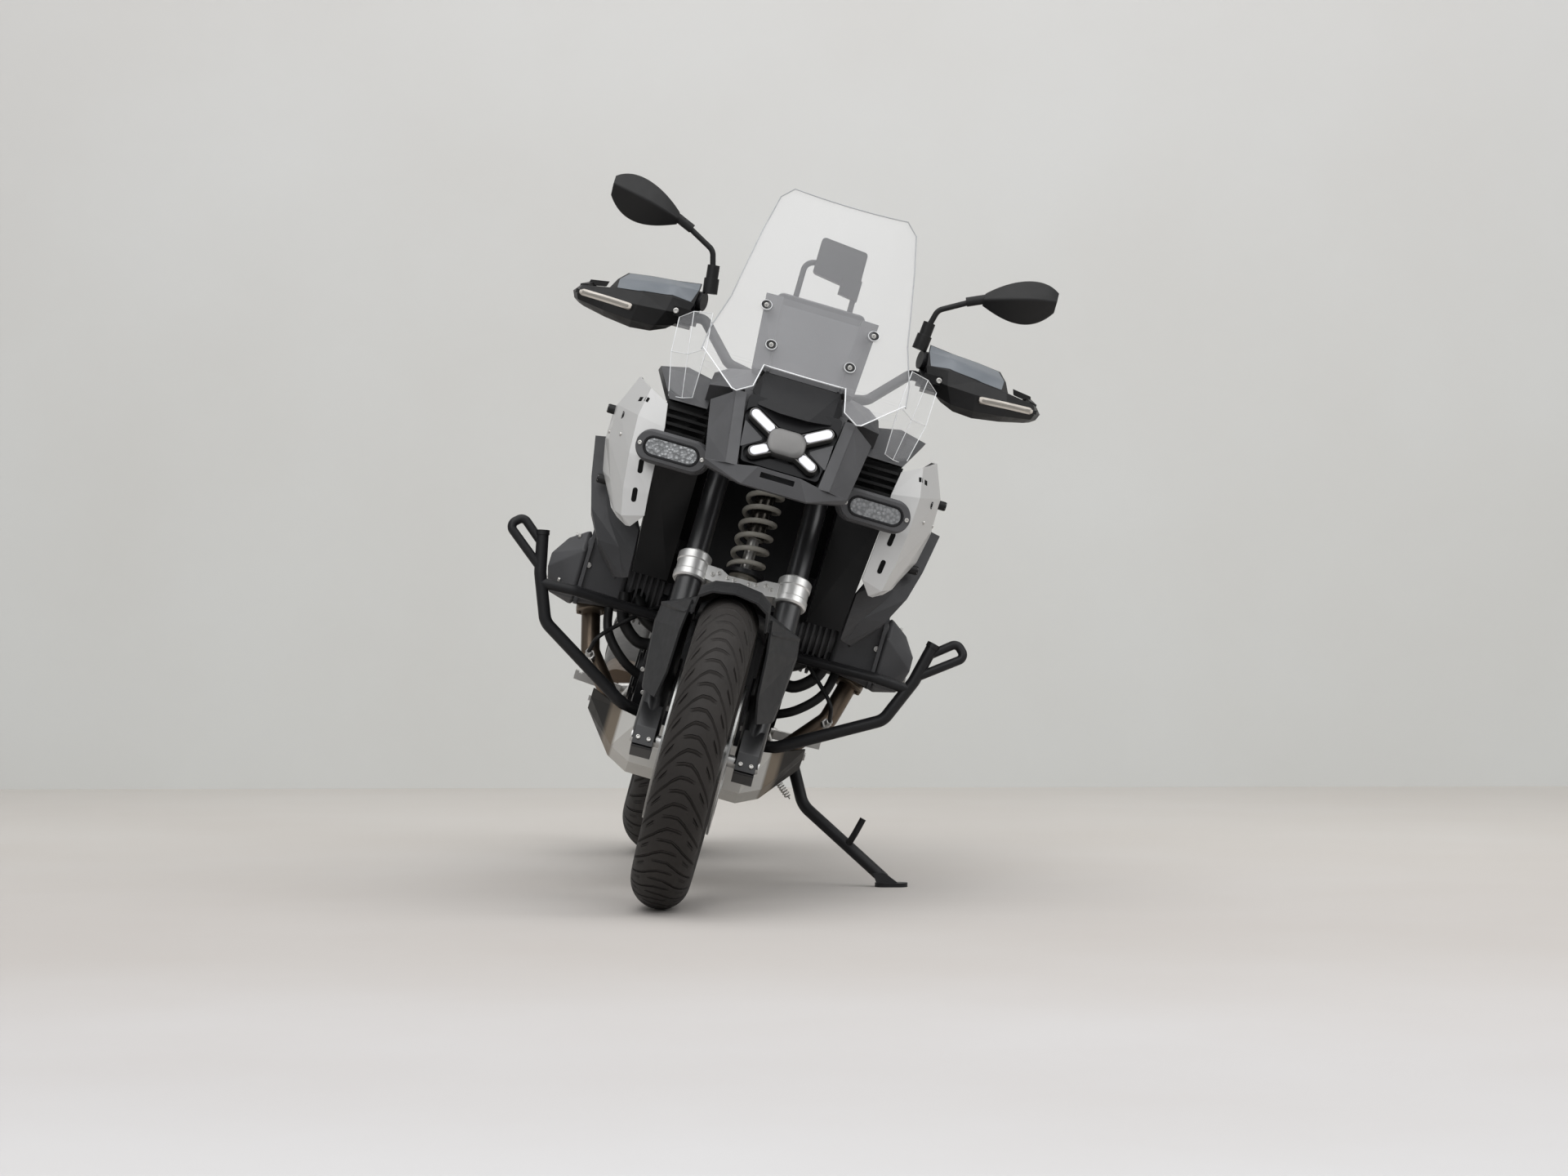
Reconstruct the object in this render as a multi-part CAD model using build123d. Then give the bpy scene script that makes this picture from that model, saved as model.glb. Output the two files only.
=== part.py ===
from build123d import *
import math
import os
from itertools import combinations

# Adventure motorcycle with a flat twin engine, wire wheels and shaft drive, leaning on its side stand.
# It is built upright with the wheels in line: +X the rider's left, +Y rearward, +Z up, millimetres.
# The steered parts are then turned by STEER and the whole machine leaned by LEAN on to its stand.

# ---- chassis
WHEELBASE = 1534.0
FRONT_AT = -767.0            # front tyre's contact ahead of the engine's datum
RAKE = 26.2                  # steering axis from the vertical, degrees
TRAIL = 118.8
LEAN = 16.3                  # degrees toward the rider's left
STEER = -3.0                 # stored steering angle, left turn positive
STEER_RANGE = (-35.0, 41.0)  # from the stored angle: 38 each way of straight ahead
ORIGIN = (280.0, 48.0)       # floor point under the middle of the leaned machine

# ---- wheels: tyre outer radius, crown radius, rim bead seat radius, rim half width
FRONT_TYRE = dict(radius=325.3, crown=60.0, seat=241.3, half=44.0)
REAR_TYRE = dict(radius=317.9, crown=85.0, seat=215.9, half=64.0)
CARCASS = 9.0
SPOKES = 20                  # a side
SPOKE_R = 2.4
AXLE_R = 12.5
AXLE_BORE = 9.0
SPINDLE_R = 30.0
SPINDLE_BORE = 25.0
RUNNING = 0.05               # radial play of a running fit
FRONT_DISC = dict(outer=155.0, inner=118.0, thick=4.5, x=66.0)
REAR_DISC = dict(outer=142.5, inner=100.0, thick=5.0, x=74.0)

# ---- fork
LEG_X = 106.0
TUBE_R = 23.0
SLIDER_R = 27.0
COLLAR_R = 35.0
COLLAR_LENGTH = 62.0
TUBE_PROUD = 35.0            # tubes above the upper bridge's foot
BRIDGE_CLEAR = 69.2          # lower bridge's middle above the tyre
HEAD_TOP = 1147.9            # upper bridge's foot above the floor, along the steering axis
HEAD_LENGTH = 88.0
HEAD_GAP = 6.0
CLAMP_UP = 62.0              # handlebar's middle above the upper bridge's foot

FENDER_FRONT = 20.0          # crown of the fender ahead of and behind the axle, degrees
FENDER_REAR = 26.0
FENDER_GAP = 20.7            # over the tyre
FENDER_SIDE = 14.0           # beside the tyre
FENDER_WALL = 4.0

PIN_R = 14.0                 # steering pin
COIL_FOOT = 90.0             # front spring's foot above the strut's lower eye
COIL_HEAD = 26.8             # and its head below the upper one
COIL_R = 34.5
WIRE_R = 5.5
COIL_PITCH = 31.0
PIVOT_R = 26.0               # swingarm pivot tube
PIVOT_AT = (172.0, 452.0)    # y, z of the swingarm pivot

# ---- engine and side stand
CYL_Z = 618.0
CYL_Y = (-262.0, -238.0)     # left, right
COVER_X = 398.0
ENGINE_COVERS = ((-60.0, 430.0, 74.0, 156.0), (-262.0, 440.0, 52.0, 153.0))  # y, z, radius, reach
CRASH_TUBE = 13.0
LOOP_TUBE = 9.5
BAR_R = 11.0
HEADER_R = 20.0
COLLECTOR_GAP = 119.0        # ahead of the rear tyre
COLLECTOR_LENGTH = 180.0
SILENCER_DIR = (0.0, 0.966, 0.259)
STAND_PIVOT = (216.0, -150.0, 350.0)
STAND_KNEE = (269.0, -182.0, 257.0)
STAND_FOOT = (496.0, -245.0)  # upright x, y of the sole's middle
STAND_AXIS = (0.809, 0.255, 0.529)
STAND_FOLD = 104.0
STAND_TUBE = 13.0
STAND_PIN = 8.0
EYE = 26.0                   # length and radius of the stand's knuckle
EYE_R = 22.0
LAMP_ARMS = ((31.6, 101.0), (-30.4, 81.0))  # each arm's angle and reach, mirrored
ARM_WIDTH = 23.0
RACK_Y = 800.0
RACK_TOP = 978.0
RACK_PCD = 160.0
RACK_HOLE = 4.5

lean, rake, steer = map(math.radians, (LEAN, RAKE, STEER))
UP = (0.0, math.sin(rake), math.cos(rake))
STEER_FOOT = (0.0, FRONT_AT - TRAIL, 0.0)
STEER_AXIS = Axis(STEER_FOOT, UP)


def leaned(p):
    """A point of the upright machine in the row frame."""
    x, y, z = p
    return (
        x * math.cos(lean) + z * math.sin(lean) - ORIGIN[0],
        y - ORIGIN[1],
        z * math.cos(lean) - x * math.sin(lean),
    )


def leaned_dir(v):
    x, y, z = v
    return (x * math.cos(lean) + z * math.sin(lean), y, z * math.cos(lean) - x * math.sin(lean))


def turned(v, angle=steer):
    """A vector turned about the steering direction."""
    v, u = Vector(*v), Vector(*UP)
    w = v * math.cos(angle) + u.cross(v) * math.sin(angle) + u * (u.dot(v) * (1 - math.cos(angle)))
    return (w.X, w.Y, w.Z)


def axle_height(tyre):
    return tyre["radius"] - tyre["crown"] + tyre["crown"] / math.cos(lean)


def front_travel():
    """How far the steered wheel slides along the fork to stay on the floor."""
    tyre, height = FRONT_TYRE, axle_height(FRONT_TYRE)
    arm = turned((0.0, TRAIL, height))
    centre = leaned(tuple(a + b for a, b in zip(STEER_FOOT, arm)))
    axle = leaned_dir(turned((1.0, 0.0, 0.0)))
    ring = tyre["radius"] - tyre["crown"]
    need = ring * math.sqrt(1.0 - axle[2] ** 2) + tyre["crown"]
    return (need - centre[2]) / leaned_dir(UP)[2]


SAG = front_travel()
FRONT_Z = axle_height(FRONT_TYRE) + SAG * UP[2]
FRONT_Y = FRONT_AT + SAG * UP[1]
REAR_Z = axle_height(REAR_TYRE)
REAR_Y = FRONT_AT + WHEELBASE
FORK = Plane(origin=(0, FRONT_Y, FRONT_Z), x_dir=(1, 0, 0), z_dir=UP)  # local Y rearward, Z up the legs
FOOT = FORK.to_local_coords(Vector(*STEER_FOOT))
AXIS_BACK = FOOT.Y           # steering axis behind the legs
BRIDGE_UP = FRONT_TYRE["radius"] + BRIDGE_CLEAR
TOP_BRIDGE_UP = HEAD_TOP + FOOT.Z
HEAD_LOW = TOP_BRIDGE_UP - HEAD_GAP - HEAD_LENGTH
TUBE_TOP = TOP_BRIDGE_UP + TUBE_PROUD
HEAD_FOOT = FORK.from_local_coords(Vector(0, AXIS_BACK, HEAD_LOW))
BALL = FORK.from_local_coords(Vector(0, AXIS_BACK, BRIDGE_UP - 34))
CLAMP = FORK.from_local_coords(Vector(0, 0, TOP_BRIDGE_UP + CLAMP_UP))
BARS = Location((0, CLAMP.Y, CLAMP.Z))  # pieces of the handlebar are drawn from its clamp
LEG_SWEEP = math.hypot(LEG_X, AXIS_BACK) + TUBE_R + 6
HEAD_SWEEP = LEG_SWEEP + 34
REAR_SWEEP = 82.0
FRONT_WHEEL = Location((0, FRONT_Y, FRONT_Z))
REAR_WHEEL = Location((0, REAR_Y, REAR_Z))
FLOOR = Plane(origin=(0, 0, 0), x_dir=(math.cos(lean), 0, math.sin(lean)),
              z_dir=(-math.sin(lean), 0, math.cos(lean)))


# ---- shaping helpers
def mir(shape):
    return mirror(shape, about=Plane.YZ)


def flip(points):
    return [(-x, y, z) for x, y, z in points]


def polyhedron(faces):
    return Solid(Shell([Face(Wire.make_polygon([Vector(*v) for v in f], close=True)) for f in faces]))


def gem(points):
    """Convex faceted solid with these corners."""
    pts = [Vector(*p) for p in points]
    seen, faces = set(), []
    for i, j, k in combinations(range(len(pts)), 3):
        n = (pts[j] - pts[i]).cross(pts[k] - pts[i])
        if n.length < 1e-4:
            continue
        n = n.normalized()
        d = [(p - pts[i]).dot(n) for p in pts]
        if max(d) > 1e-4 and min(d) < -1e-4:
            continue
        on = frozenset(m for m in range(len(pts)) if abs(d[m]) <= 1e-4)
        if on in seen:
            continue
        seen.add(on)
        mid = sum((pts[m] for m in on), Vector(0, 0, 0)) * (1 / len(on))
        a = (pts[i] - mid).normalized()
        b = n.cross(a)
        turn = sorted(on, key=lambda m: math.atan2((pts[m] - mid).dot(b), (pts[m] - mid).dot(a)))
        faces.append([tuple(pts[m]) for m in turn])
    return polyhedron(faces)


def skin(rows, t):
    """Faceted sheet t thick behind a net of points; rows run one way, points along them the other."""
    net = [[Vector(*p) for p in row] for row in rows]
    n, m = len(net), len(net[0])

    def tri(a, b, c):
        return (b - a).cross(c - a)

    back = []
    for i in range(n):
        line = []
        for j in range(m):
            total = Vector(0, 0, 0)
            for di, dj in ((0, 0), (-1, 0), (0, -1), (-1, -1)):
                p, q = i + di, j + dj
                if 0 <= p < n - 1 and 0 <= q < m - 1:
                    w = tri(net[p][q], net[p][q + 1], net[p + 1][q])
                    w += tri(net[p + 1][q + 1], net[p + 1][q], net[p][q + 1])
                    total += w.normalized()
            line.append(net[i][j] + total.normalized() * t)
        back.append(line)
    faces = []
    for i in range(n - 1):
        for j in range(m - 1):
            for g in (net, back):
                faces.append([g[i][j], g[i][j + 1], g[i + 1][j]])
                faces.append([g[i + 1][j + 1], g[i + 1][j], g[i][j + 1]])
    rim = [(0, j) for j in range(m)] + [(i, m - 1) for i in range(1, n)]
    rim += [(n - 1, j) for j in range(m - 2, -1, -1)] + [(i, 0) for i in range(n - 2, 0, -1)]
    for (a, b), (c, d) in zip(rim, rim[1:] + rim[:1]):
        faces.append([net[a][b], net[c][d], back[a][b]])
        faces.append([back[c][d], back[a][b], net[c][d]])
    return polyhedron([[tuple(v) for v in f] for f in faces])


def offset_run(points, t):
    """The same open run of (x, radius) points, t further out; its two ends keep their radius."""
    edge = abs(points[0][0])
    return [(x + math.copysign(t, x) * (x != 0), r + t * (abs(x) < edge)) for x, r in points]


def outline(points, r=0.0):
    """Closed outline with its corners rounded by r."""
    return make_face(FilletPolyline(*points, radius=r, close=True) if r else Polyline(*points, close=True))


def prism(points, along, start, length, r=0.0):
    """Outline of 2D points pushed along an axis: x uses (y, z), y uses (x, z), z uses (x, y)."""
    base = {"x": Plane.YZ, "y": Plane.XZ, "z": Plane.XY}[along]
    sign = -1.0 if along == "y" else 1.0
    return base.offset(sign * start) * extrude(outline(points, r), amount=sign * length)


def hull(stations, r):
    """Loft through symmetrical cross-sections: each is y and the right half's (x, z) corners, top to bottom."""
    faces = []
    for y, half in stations:
        points = list(half) + [(-x, z) for x, z in reversed(half)]
        faces.append(Plane.XZ.offset(-y) * outline(points, r))
    return loft(faces, ruled=len(faces) < 3)


def rod(a, b, r, inner=0.0):
    a, b = Vector(*a), Vector(*b)
    body = Cylinder(r, (b - a).length, align=(Align.CENTER, Align.CENTER, Align.MIN))
    if inner:
        body -= Cylinder(inner, (b - a).length, align=(Align.CENTER, Align.CENTER, Align.MIN))
    return Plane(a, z_dir=b - a) * body


def pipe(points, r, bend):
    path = FilletPolyline(*points, radius=bend) if len(points) > 2 else Line(*points)
    return sweep(Plane(path @ 0, z_dir=path % 0) * Circle(r), path=path)


def disc_x(r, x0, x1, y=0.0, z=0.0):
    return rod((x0, y, z), (x1, y, z), r)


def joined(first, *rest):
    return first.fuse(*rest) if rest else first


def along_axis(r, low, high):
    """Cylinder about the steering axis between two heights along the fork."""
    return FORK * rod((0, AXIS_BACK, low), (0, AXIS_BACK, high), r)


def steering_room():
    """What the fork and the upper bridge sweep from lock to lock."""
    legs = along_axis(LEG_SWEEP, BRIDGE_UP - 60, TOP_BRIDGE_UP - 10)
    head = along_axis(HEAD_SWEEP, TOP_BRIDGE_UP - 10, TOP_BRIDGE_UP + 120)
    rear = FORK * Pos(0, AXIS_BACK + REAR_SWEEP + 200, 700) * Box(400, 400, 1600)
    return legs.fuse(head) - rear


# ---- wheels, each about its own centre
def tyre(spec):
    r, c, seat, half = spec["radius"], spec["crown"], spec["seat"], spec["half"]
    side = r - c
    ci = c - CARCASS
    outer = ThreePointArc((c, side), (0, r), (-c, side))
    walls = Polyline((-c, side), (-half - 3, seat + 10), (-half, seat), (-half + 16, seat),
                     (-half + 16, seat + 14), (-ci, side))
    inner = ThreePointArc((-ci, side), (0, r - CARCASS), (ci, side))
    other = Polyline((ci, side), (half - 16, seat + 14), (half - 16, seat), (half, seat), (half + 3, seat + 10),
                     (c, side))
    return revolve(make_face(outer + walls + inner + other) - rim_profile(spec), Axis.X)


def rim_profile(spec):
    seat, half = spec["seat"], spec["half"]
    over = [(half + 3, seat + 9), (half - 2, seat + 9), (half - 4, seat), (half - 22, seat - 4),
            (half - 30, seat - 16)]
    under = [(half - 33, seat - 21), (half - 24, seat - 9), (half - 9, seat - 6), (half + 3, seat - 8)]
    points = over + [(-x, r) for x, r in reversed(over)] + [(-x, r) for x, r in under[::-1]] + under
    return make_face(Polyline(*points, close=True))


def rim_ring(spec):
    return revolve(rim_profile(spec), Axis.X)


def spokes(spec, flange_x, flange_r):
    out = []
    for side in (1, -1):
        for k in range(SPOKES):
            a = math.tau * (k + 0.25 * side) / SPOKES
            b = a + (0.42 if k % 2 else -0.42)
            hub = (side * flange_x, (flange_r - 6) * math.cos(a), (flange_r - 6) * math.sin(a))
            r = spec["seat"] - 6
            out.append(rod(hub, (side * (spec["half"] - 3), r * math.cos(b), r * math.sin(b)), SPOKE_R))
    return out


def turned_x(points):
    """Solid of revolution about the axle from (x, r) points."""
    return revolve(make_face(Polyline(*points, close=True)), Axis.X)


def front_tyre():
    return FRONT_WHEEL * tyre(FRONT_TYRE)


def front_rim():
    bore = AXLE_R + RUNNING
    hub = turned_x([(62, bore), (62, 34), (56, 34), (56, 46), (46, 46), (38, 30), (-38, 30), (-46, 46),
                    (-56, 46), (-56, 34), (-62, 34), (-62, bore)])
    return FRONT_WHEEL * joined(rim_ring(FRONT_TYRE), hub, *spokes(FRONT_TYRE, 51, 46))


def disc(spec, carrier_r):
    """Brake disc with its carrier arms."""
    x, t = spec["x"], spec["thick"]
    body = disc_x(spec["outer"], x - t / 2, x + t / 2) - disc_x(spec["inner"], x - t, x + t)
    arms = disc_x(carrier_r + 12, x - t / 2, x + t / 2) - disc_x(carrier_r - 10, x - t, x + t)
    for k in range(5):
        arm = Pos(x, 0, (spec["inner"] + carrier_r) / 2) * Box(t, 14, spec["inner"] - carrier_r + 8)
        arms += Rot(72 * k, 0, 0) * arm
    return body + arms


def front_disc():
    """Disc on the spigot of the hub's left side, about the wheel's centre."""
    x = FRONT_DISC["x"]
    ring = disc_x(46, 56.2, x) - disc_x(35, 50, x + 5)
    return disc(FRONT_DISC, 42) + ring


def front_disc_left():
    return FRONT_WHEEL * front_disc()


def front_disc_right():
    return FRONT_WHEEL * mir(front_disc())


def rear_tyre():
    return REAR_WHEEL * tyre(REAR_TYRE)


def rear_rim():
    bore = SPINDLE_R + RUNNING
    hub = turned_x([(66, bore), (66, 58), (60, 64), (48, 64), (42, 46), (-34, 46), (-42, 60), (-54, 60),
                    (-54, 50), (-60, 44), (-60, bore)])
    return REAR_WHEEL * joined(rim_ring(REAR_TYRE), hub, *spokes(REAR_TYRE, 50, 62))


def rear_disc():
    x = REAR_DISC["x"]
    ring = disc_x(60, 66.2, x) - disc_x(SPINDLE_R + 8, 60, x + 5)
    return REAR_WHEEL * (disc(REAR_DISC, 52) + ring)


# ---- front suspension and steering, legs in the FORK plane
def fork_leg(side):
    x = side * LEG_X
    tube = Pos(x, 0, 0) * rod((0, 0, 300), (0, 0, TUBE_TOP), TUBE_R)
    slider = rod((x, 0, -8), (x, 0, BRIDGE_UP + 12), SLIDER_R)
    foot = prism([(-30, -34), (26, -34), (30, 20), (22, 70), (-24, 70), (-34, 10)], "x",
                 x - 21, 42, 7)
    slot = Pos(x, -26, -30) * Box(60, 30, 3)
    inner, outer = sorted((side * 64, side * 112))
    caliper = prism([(20, 92), (84, 106), (84, 198), (20, 206)], "x", inner, outer - inner, 10)
    for z in (128, 170):
        caliper += rod((side * 98, 58, z), (side * 112, 58, z), 15)
    caliper -= Pos(side * FRONT_DISC["x"], 60, 150) * Box(16, 120, 300)
    axle_hole = rod((x - 60, 0, 0), (x + 60, 0, 0), AXLE_R + RUNNING)
    body = tube + slider + foot + caliper - axle_hole - slot
    return FORK * body


def fork_leg_left():
    return fork_leg(1)


def fork_leg_right():
    return fork_leg(-1)


def front_axle():
    half = LEG_X + 27
    return FORK * rod((-half, 0, 0), (half, 0, 0), AXLE_R, AXLE_BORE)


def fork_bridge():
    """Lower bridge: two machined collars joined ahead of the ball joint."""
    low, high = BRIDGE_UP - COLLAR_LENGTH / 2, BRIDGE_UP + COLLAR_LENGTH / 2
    bore = SLIDER_R + 0.2
    half = revolve(make_face(Polyline(
        (bore, low), (COLLAR_R - 3, low), (COLLAR_R, low + 4), (COLLAR_R, low + 16), (COLLAR_R - 2, low + 18),
        (COLLAR_R - 2, high - 22), (COLLAR_R, high - 20), (COLLAR_R, high - 4), (COLLAR_R - 4, high),
        (bore, high), close=True)).moved(Location((0, 0, 0), (90, 0, 0))), Axis.Z)
    collars = [Pos(s * LEG_X, 0, 0) * half for s in (1, -1)]
    beam = prism([(-76, 372), (-40, 366), (-22, 378), (22, 378), (40, 366), (76, 372), (76, 404), (46, 402),
                  (30, 392), (-30, 392), (-46, 402), (-76, 404)], "y", -16, 40)
    tongue = prism([(-22, 10), (22, 10), (17, 52), (-17, 52)], "z", 378, 14)
    return FORK * (collars[0] + collars[1] + beam + tongue)


def upper_bridge():
    """Upper bridge with the steering pin and the handlebar clamps."""
    z = TOP_BRIDGE_UP
    plan = [(-134, -16), (-118, -31), (-88, -28), (-40, 8), (40, 8), (88, -28), (118, -31), (134, -16),
            (134, 14), (112, 30), (60, 56), (-60, 56), (-112, 30), (-134, 14)]
    plate = prism(plan, "z", z, 26, 7)
    for s in (1, -1):
        plate -= rod((s * LEG_X, 0, z - 5), (s * LEG_X, 0, z + 40), TUBE_R + 0.05)
    pin = rod((0, AXIS_BACK, z - 60), (0, AXIS_BACK, z + 30), PIN_R)
    risers = [prism([(-22, z + 26), (24, z + 26), (24, z + CLAMP_UP + 12), (-22, z + CLAMP_UP + 12)], "x",
                    s * 60 - 14, 28) for s in (1, -1)]
    body = joined(plate, pin, *risers)
    return FORK * (body - rod((-90, 0, z + CLAMP_UP), (90, 0, z + CLAMP_UP), BAR_R + 4.05))


def bar_run(side, from_x, to_x, r):
    """A straight length of the swept handlebar's outer part, by its distance from the middle."""
    p, q = grip_point(side, from_x), grip_point(side, to_x)
    return rod(p, q, r)


GRIP = ((235.0, 68.0, 94.0), (452.0, 140.0, 84.0))  # inner and outer ends of the left grip line


def grip_point(side, x):
    (x0, y0, z0), (x1, y1, z1) = GRIP
    f = (x - x0) / (x1 - x0)
    return (side * x, y0 + f * (y1 - y0), z0 + f * (z1 - z0))


def handlebar():
    middle = [(s * 78, 0, 0) for s in (-1, 1)]
    bar = rod(middle[0], middle[1], BAR_R + 4)
    for side in (-1, 1):
        s = middle[0] if side < 0 else middle[1]
        run = [s, (side * 150, 0, 14), grip_point(side, 225), grip_point(side, 462)]
        bar = bar.fuse(pipe(run, BAR_R, 26))
        bar = bar.fuse(bar_run(side, 318, 448, 17.5), bar_run(side, 448, 462, 20))
        pod = gem([(side * a, b, c) for a, b, c in (
            (252, 94, 66), (252, 90, 116), (316, 114, 66), (316, 110, 114),
            (252, 48, 70), (252, 52, 120), (316, 70, 70), (316, 74, 116))])
        lever = pipe([(side * 262, 46, 84), (side * 330, 42, 80), (side * 446, 78, 74)], 6, 30)
        perch = gem([(side * a, b, c) for a, b, c in (
            (240, 68, 74), (240, 68, 112), (280, 68, 74), (280, 68, 112),
            (248, 36, 76), (248, 36, 98), (280, 36, 76), (280, 36, 98))])
        tank = rod((side * 236, 64, 130), (side * 296, 86, 130), 20)
        bar = bar.fuse(pod, lever, perch, tank)
    return BARS * bar


def handguard(side):
    """Shell ahead of the grip, open behind, with the upper spoiler and the outer strut."""
    rows = [
        [(252, 34, 120), (300, 10, 120), (360, 2, 112), (430, 8, 106), (492, 44, 98),
         (502, 90, 96)],
        [(262, 24, 94), (306, -2, 88), (366, -12, 84), (436, -4, 84), (500, 34, 82),
         (512, 90, 84)],
        [(286, 32, 64), (322, 6, 52), (372, -6, 50), (436, 0, 56), (494, 38, 66),
         (506, 90, 70)],
        [(300, 52, 54), (330, 32, 40), (372, 24, 36), (430, 30, 44), (480, 58, 56),
         (494, 94, 62)],
    ]
    shell = skin([[(side * x, y, z) for x, y, z in row] for row in rows], 4.0 * side)
    roof_rows = [
        [(250, 68, 166), (300, 74, 160), (356, 82, 156), (408, 94, 150)],
        [(250, 46, 150), (304, 38, 146), (366, 42, 138), (424, 58, 130)],
        [(254, 36, 118), (302, 12, 118), (362, 4, 110), (434, 10, 104)],
    ]
    roof = skin([[(side * x, y, z) for x, y, z in row] for row in roof_rows], 4.0 * side)
    strut = gem([(side * a, b, c) for a, b, c in (
        (444, 124, 124), (484, 124, 118), (448, 146, 124), (486, 146, 118),
        (448, 124, 112), (488, 124, 106), (452, 146, 112), (488, 146, 106))])
    arm = gem([(side * a, b, c) for a, b, c in (
        (470, 130, 74), (484, 130, 74), (470, 146, 74), (484, 146, 74),
        (470, 130, 120), (484, 130, 116), (470, 146, 120), (484, 146, 116))])
    link = gem([(side * a, b, c) for a, b, c in (
        (484, 84, 106), (500, 84, 102), (484, 84, 88), (500, 84, 88),
        (472, 142, 116), (486, 142, 114), (472, 142, 98), (486, 142, 96))])
    stay = gem([(side * a, b, c) for a, b, c in (
        (254, 26, 84), (290, 8, 84), (254, 26, 104), (290, 8, 104),
        (254, 56, 84), (282, 56, 84), (254, 56, 102), (282, 56, 102))])
    end = rod(grip_point(side, 462), grip_point(side, 484), 14)
    lens = gem([(side * a, b, c) for a, b, c in (
        (376, -8, 70), (500, 36, 78), (376, -8, 80), (500, 36, 88),
        (376, -16, 71), (502, 30, 79), (376, -16, 79), (502, 30, 87))])
    return BARS * joined(shell, roof, strut, arm, link, stay, end, lens)


def handguard_left():
    return handguard(1)


def handguard_right():
    return handguard(-1)


def mirror_part(side):
    """Teardrop head with a crest along its front, on a bent stem and a rubber boot."""
    boot = joined(rod((229, 64, 150), (233, 64, 182), 16), rod((233, 64, 182), (236, 64, 210), 13))
    stem = pipe([(235, 64, 198), (246, 62, 240), (322, 56, 282), (338, 54, 288)], 6, 24)
    neck = rod((300, 58, 272), (344, 53, 291), 10)
    stations = (          # x, lowest, crest, highest, crest's y, corner radius
        (334, 272, 284, 300, 40, 6),
        (380, 257, 298, 334, 22, 7),
        (440, 259, 312, 353, 20, 7),
        (484, 296, 320, 340, 36, 7),
    )
    faces = []
    for x, low, crest, high, front, r in stations:
        shape = [(68, low + 4), (50, low), (front, crest), (50, high), (68, high - 4)]
        faces.append(Plane.YZ.offset(x) * outline(shape, r))
    head = loft(faces)
    glass = loft([Plane.YZ.offset(x) * Pos(71, (low + high) / 2) * Rectangle(4, (high - low) - 22)
                  for x, low, crest, high, front, r in stations[1:]])
    body = BARS * (joined(head, boot, stem, neck) - glass)
    return body if side > 0 else mir(body)


def mirror_left():
    return mirror_part(1)


def mirror_right():
    return mirror_part(-1)


def front_fender():
    """Crown over the tyre with two long side blades that follow the fork legs."""
    top = FRONT_TYRE["radius"] + FENDER_GAP
    wide = FRONT_TYRE["crown"] + FENDER_SIDE
    half = [(wide, top - 62), (wide - 6, top - 23), (wide - 30, top - 7), (0, top)]
    run = half + [(-x, r) for x, r in half[-2::-1]]
    outer = offset_run(run, FENDER_WALL)
    crown = FRONT_WHEEL * Rot(90 - FENDER_REAR, 0, 0) * revolve(
        make_face(Polyline(*outer, *run[::-1], close=True)), Axis.X, FENDER_REAR + FENDER_FRONT)
    parts = [crown]
    for s in (1, -1):
        blade = [[(84, -56, -51), (140, 66, -71), (146, 102, -79)],
                 [(92, -64, -115), (146, 50, -113), (150, 76, -115)],
                 [(96, -70, -205), (140, 6, -205), (142, 24, -205)],
                 [(106, -70, -259), (134, -16, -251), (138, 0, -245)]]
        parts.append(FRONT_WHEEL * skin([[(s * x, y, top + z) for x, y, z in row] for row in blade], 5.0 * s))
        parts.append(FRONT_WHEEL * gem([(s * x, y, top + z) for x, y, z in (
            (72, -56, -75), (72, 108, -75), (72, -56, -49), (72, 96, -41),
            (146, 66, -73), (146, 108, -81), (140, 66, -85), (92, -56, -79))]))
    return joined(*parts)


# ---- engine, drive and chassis
def engine_block():
    """Crankcase and gearbox in one mass, front cover, clutch cover, ribs and the side stand's lug."""
    side = [(-398, 590), (-398, 470), (-366, 330), (-310, 288), (40, 288), (150, 330), (176, 420), (130, 560),
            (-40, 628), (-330, 640)]
    case = prism(side, "x", -118, 236, 22)
    wide = prism([(-350, 560), (-350, 420), (-300, 320), (20, 320), (90, 400), (60, 540), (-60, 600),
                  (-320, 610)], "x", -148, 296, 18)
    parts = [wide]
    for y, z, r, reach in ENGINE_COVERS:
        parts.append(rod((-reach, y, z), (reach, y, z), r))
        parts.append(rod((-reach - 5, y, z), (reach + 5, y, z), r - 12))
    for k in range(7):
        parts.append(prism([(-330, 296), (40, 296), (30, 304), (-324, 304)], "x", -105 + 33 * k, 8))
        parts.append(Pos(-105 + 35 * k, -398, 530) * Box(6, 14, 90))
    cover = rod((0, -404, 500), (0, -416, 500), 78) + rod((0, -380, 500), (0, -404, 500), 92)
    ribs = [Pos(0, -417, 500) * Rot(0, 60 * k, 0) * Box(9, 8, 150) for k in range(3)]
    lug = rod((130, -168, 336), stand_line(-24), 17) + rod(stand_line(-24), stand_line(-EYE / 2 - 3), EYE_R - 3)
    pin = rod(stand_line(-24), stand_line(EYE / 2 + 1), STAND_PIN)
    head = rod(stand_line(EYE / 2 + 1), stand_line(EYE / 2 + 6), STAND_PIN + 5)
    return joined(case, *parts, cover, *ribs, lug, pin, head)


def stand_line(d):
    """Point on the side stand's pivot line, d outward of the pivot."""
    return tuple(p + d * a for p, a in zip(STAND_PIVOT, STAND_AXIS))


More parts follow.
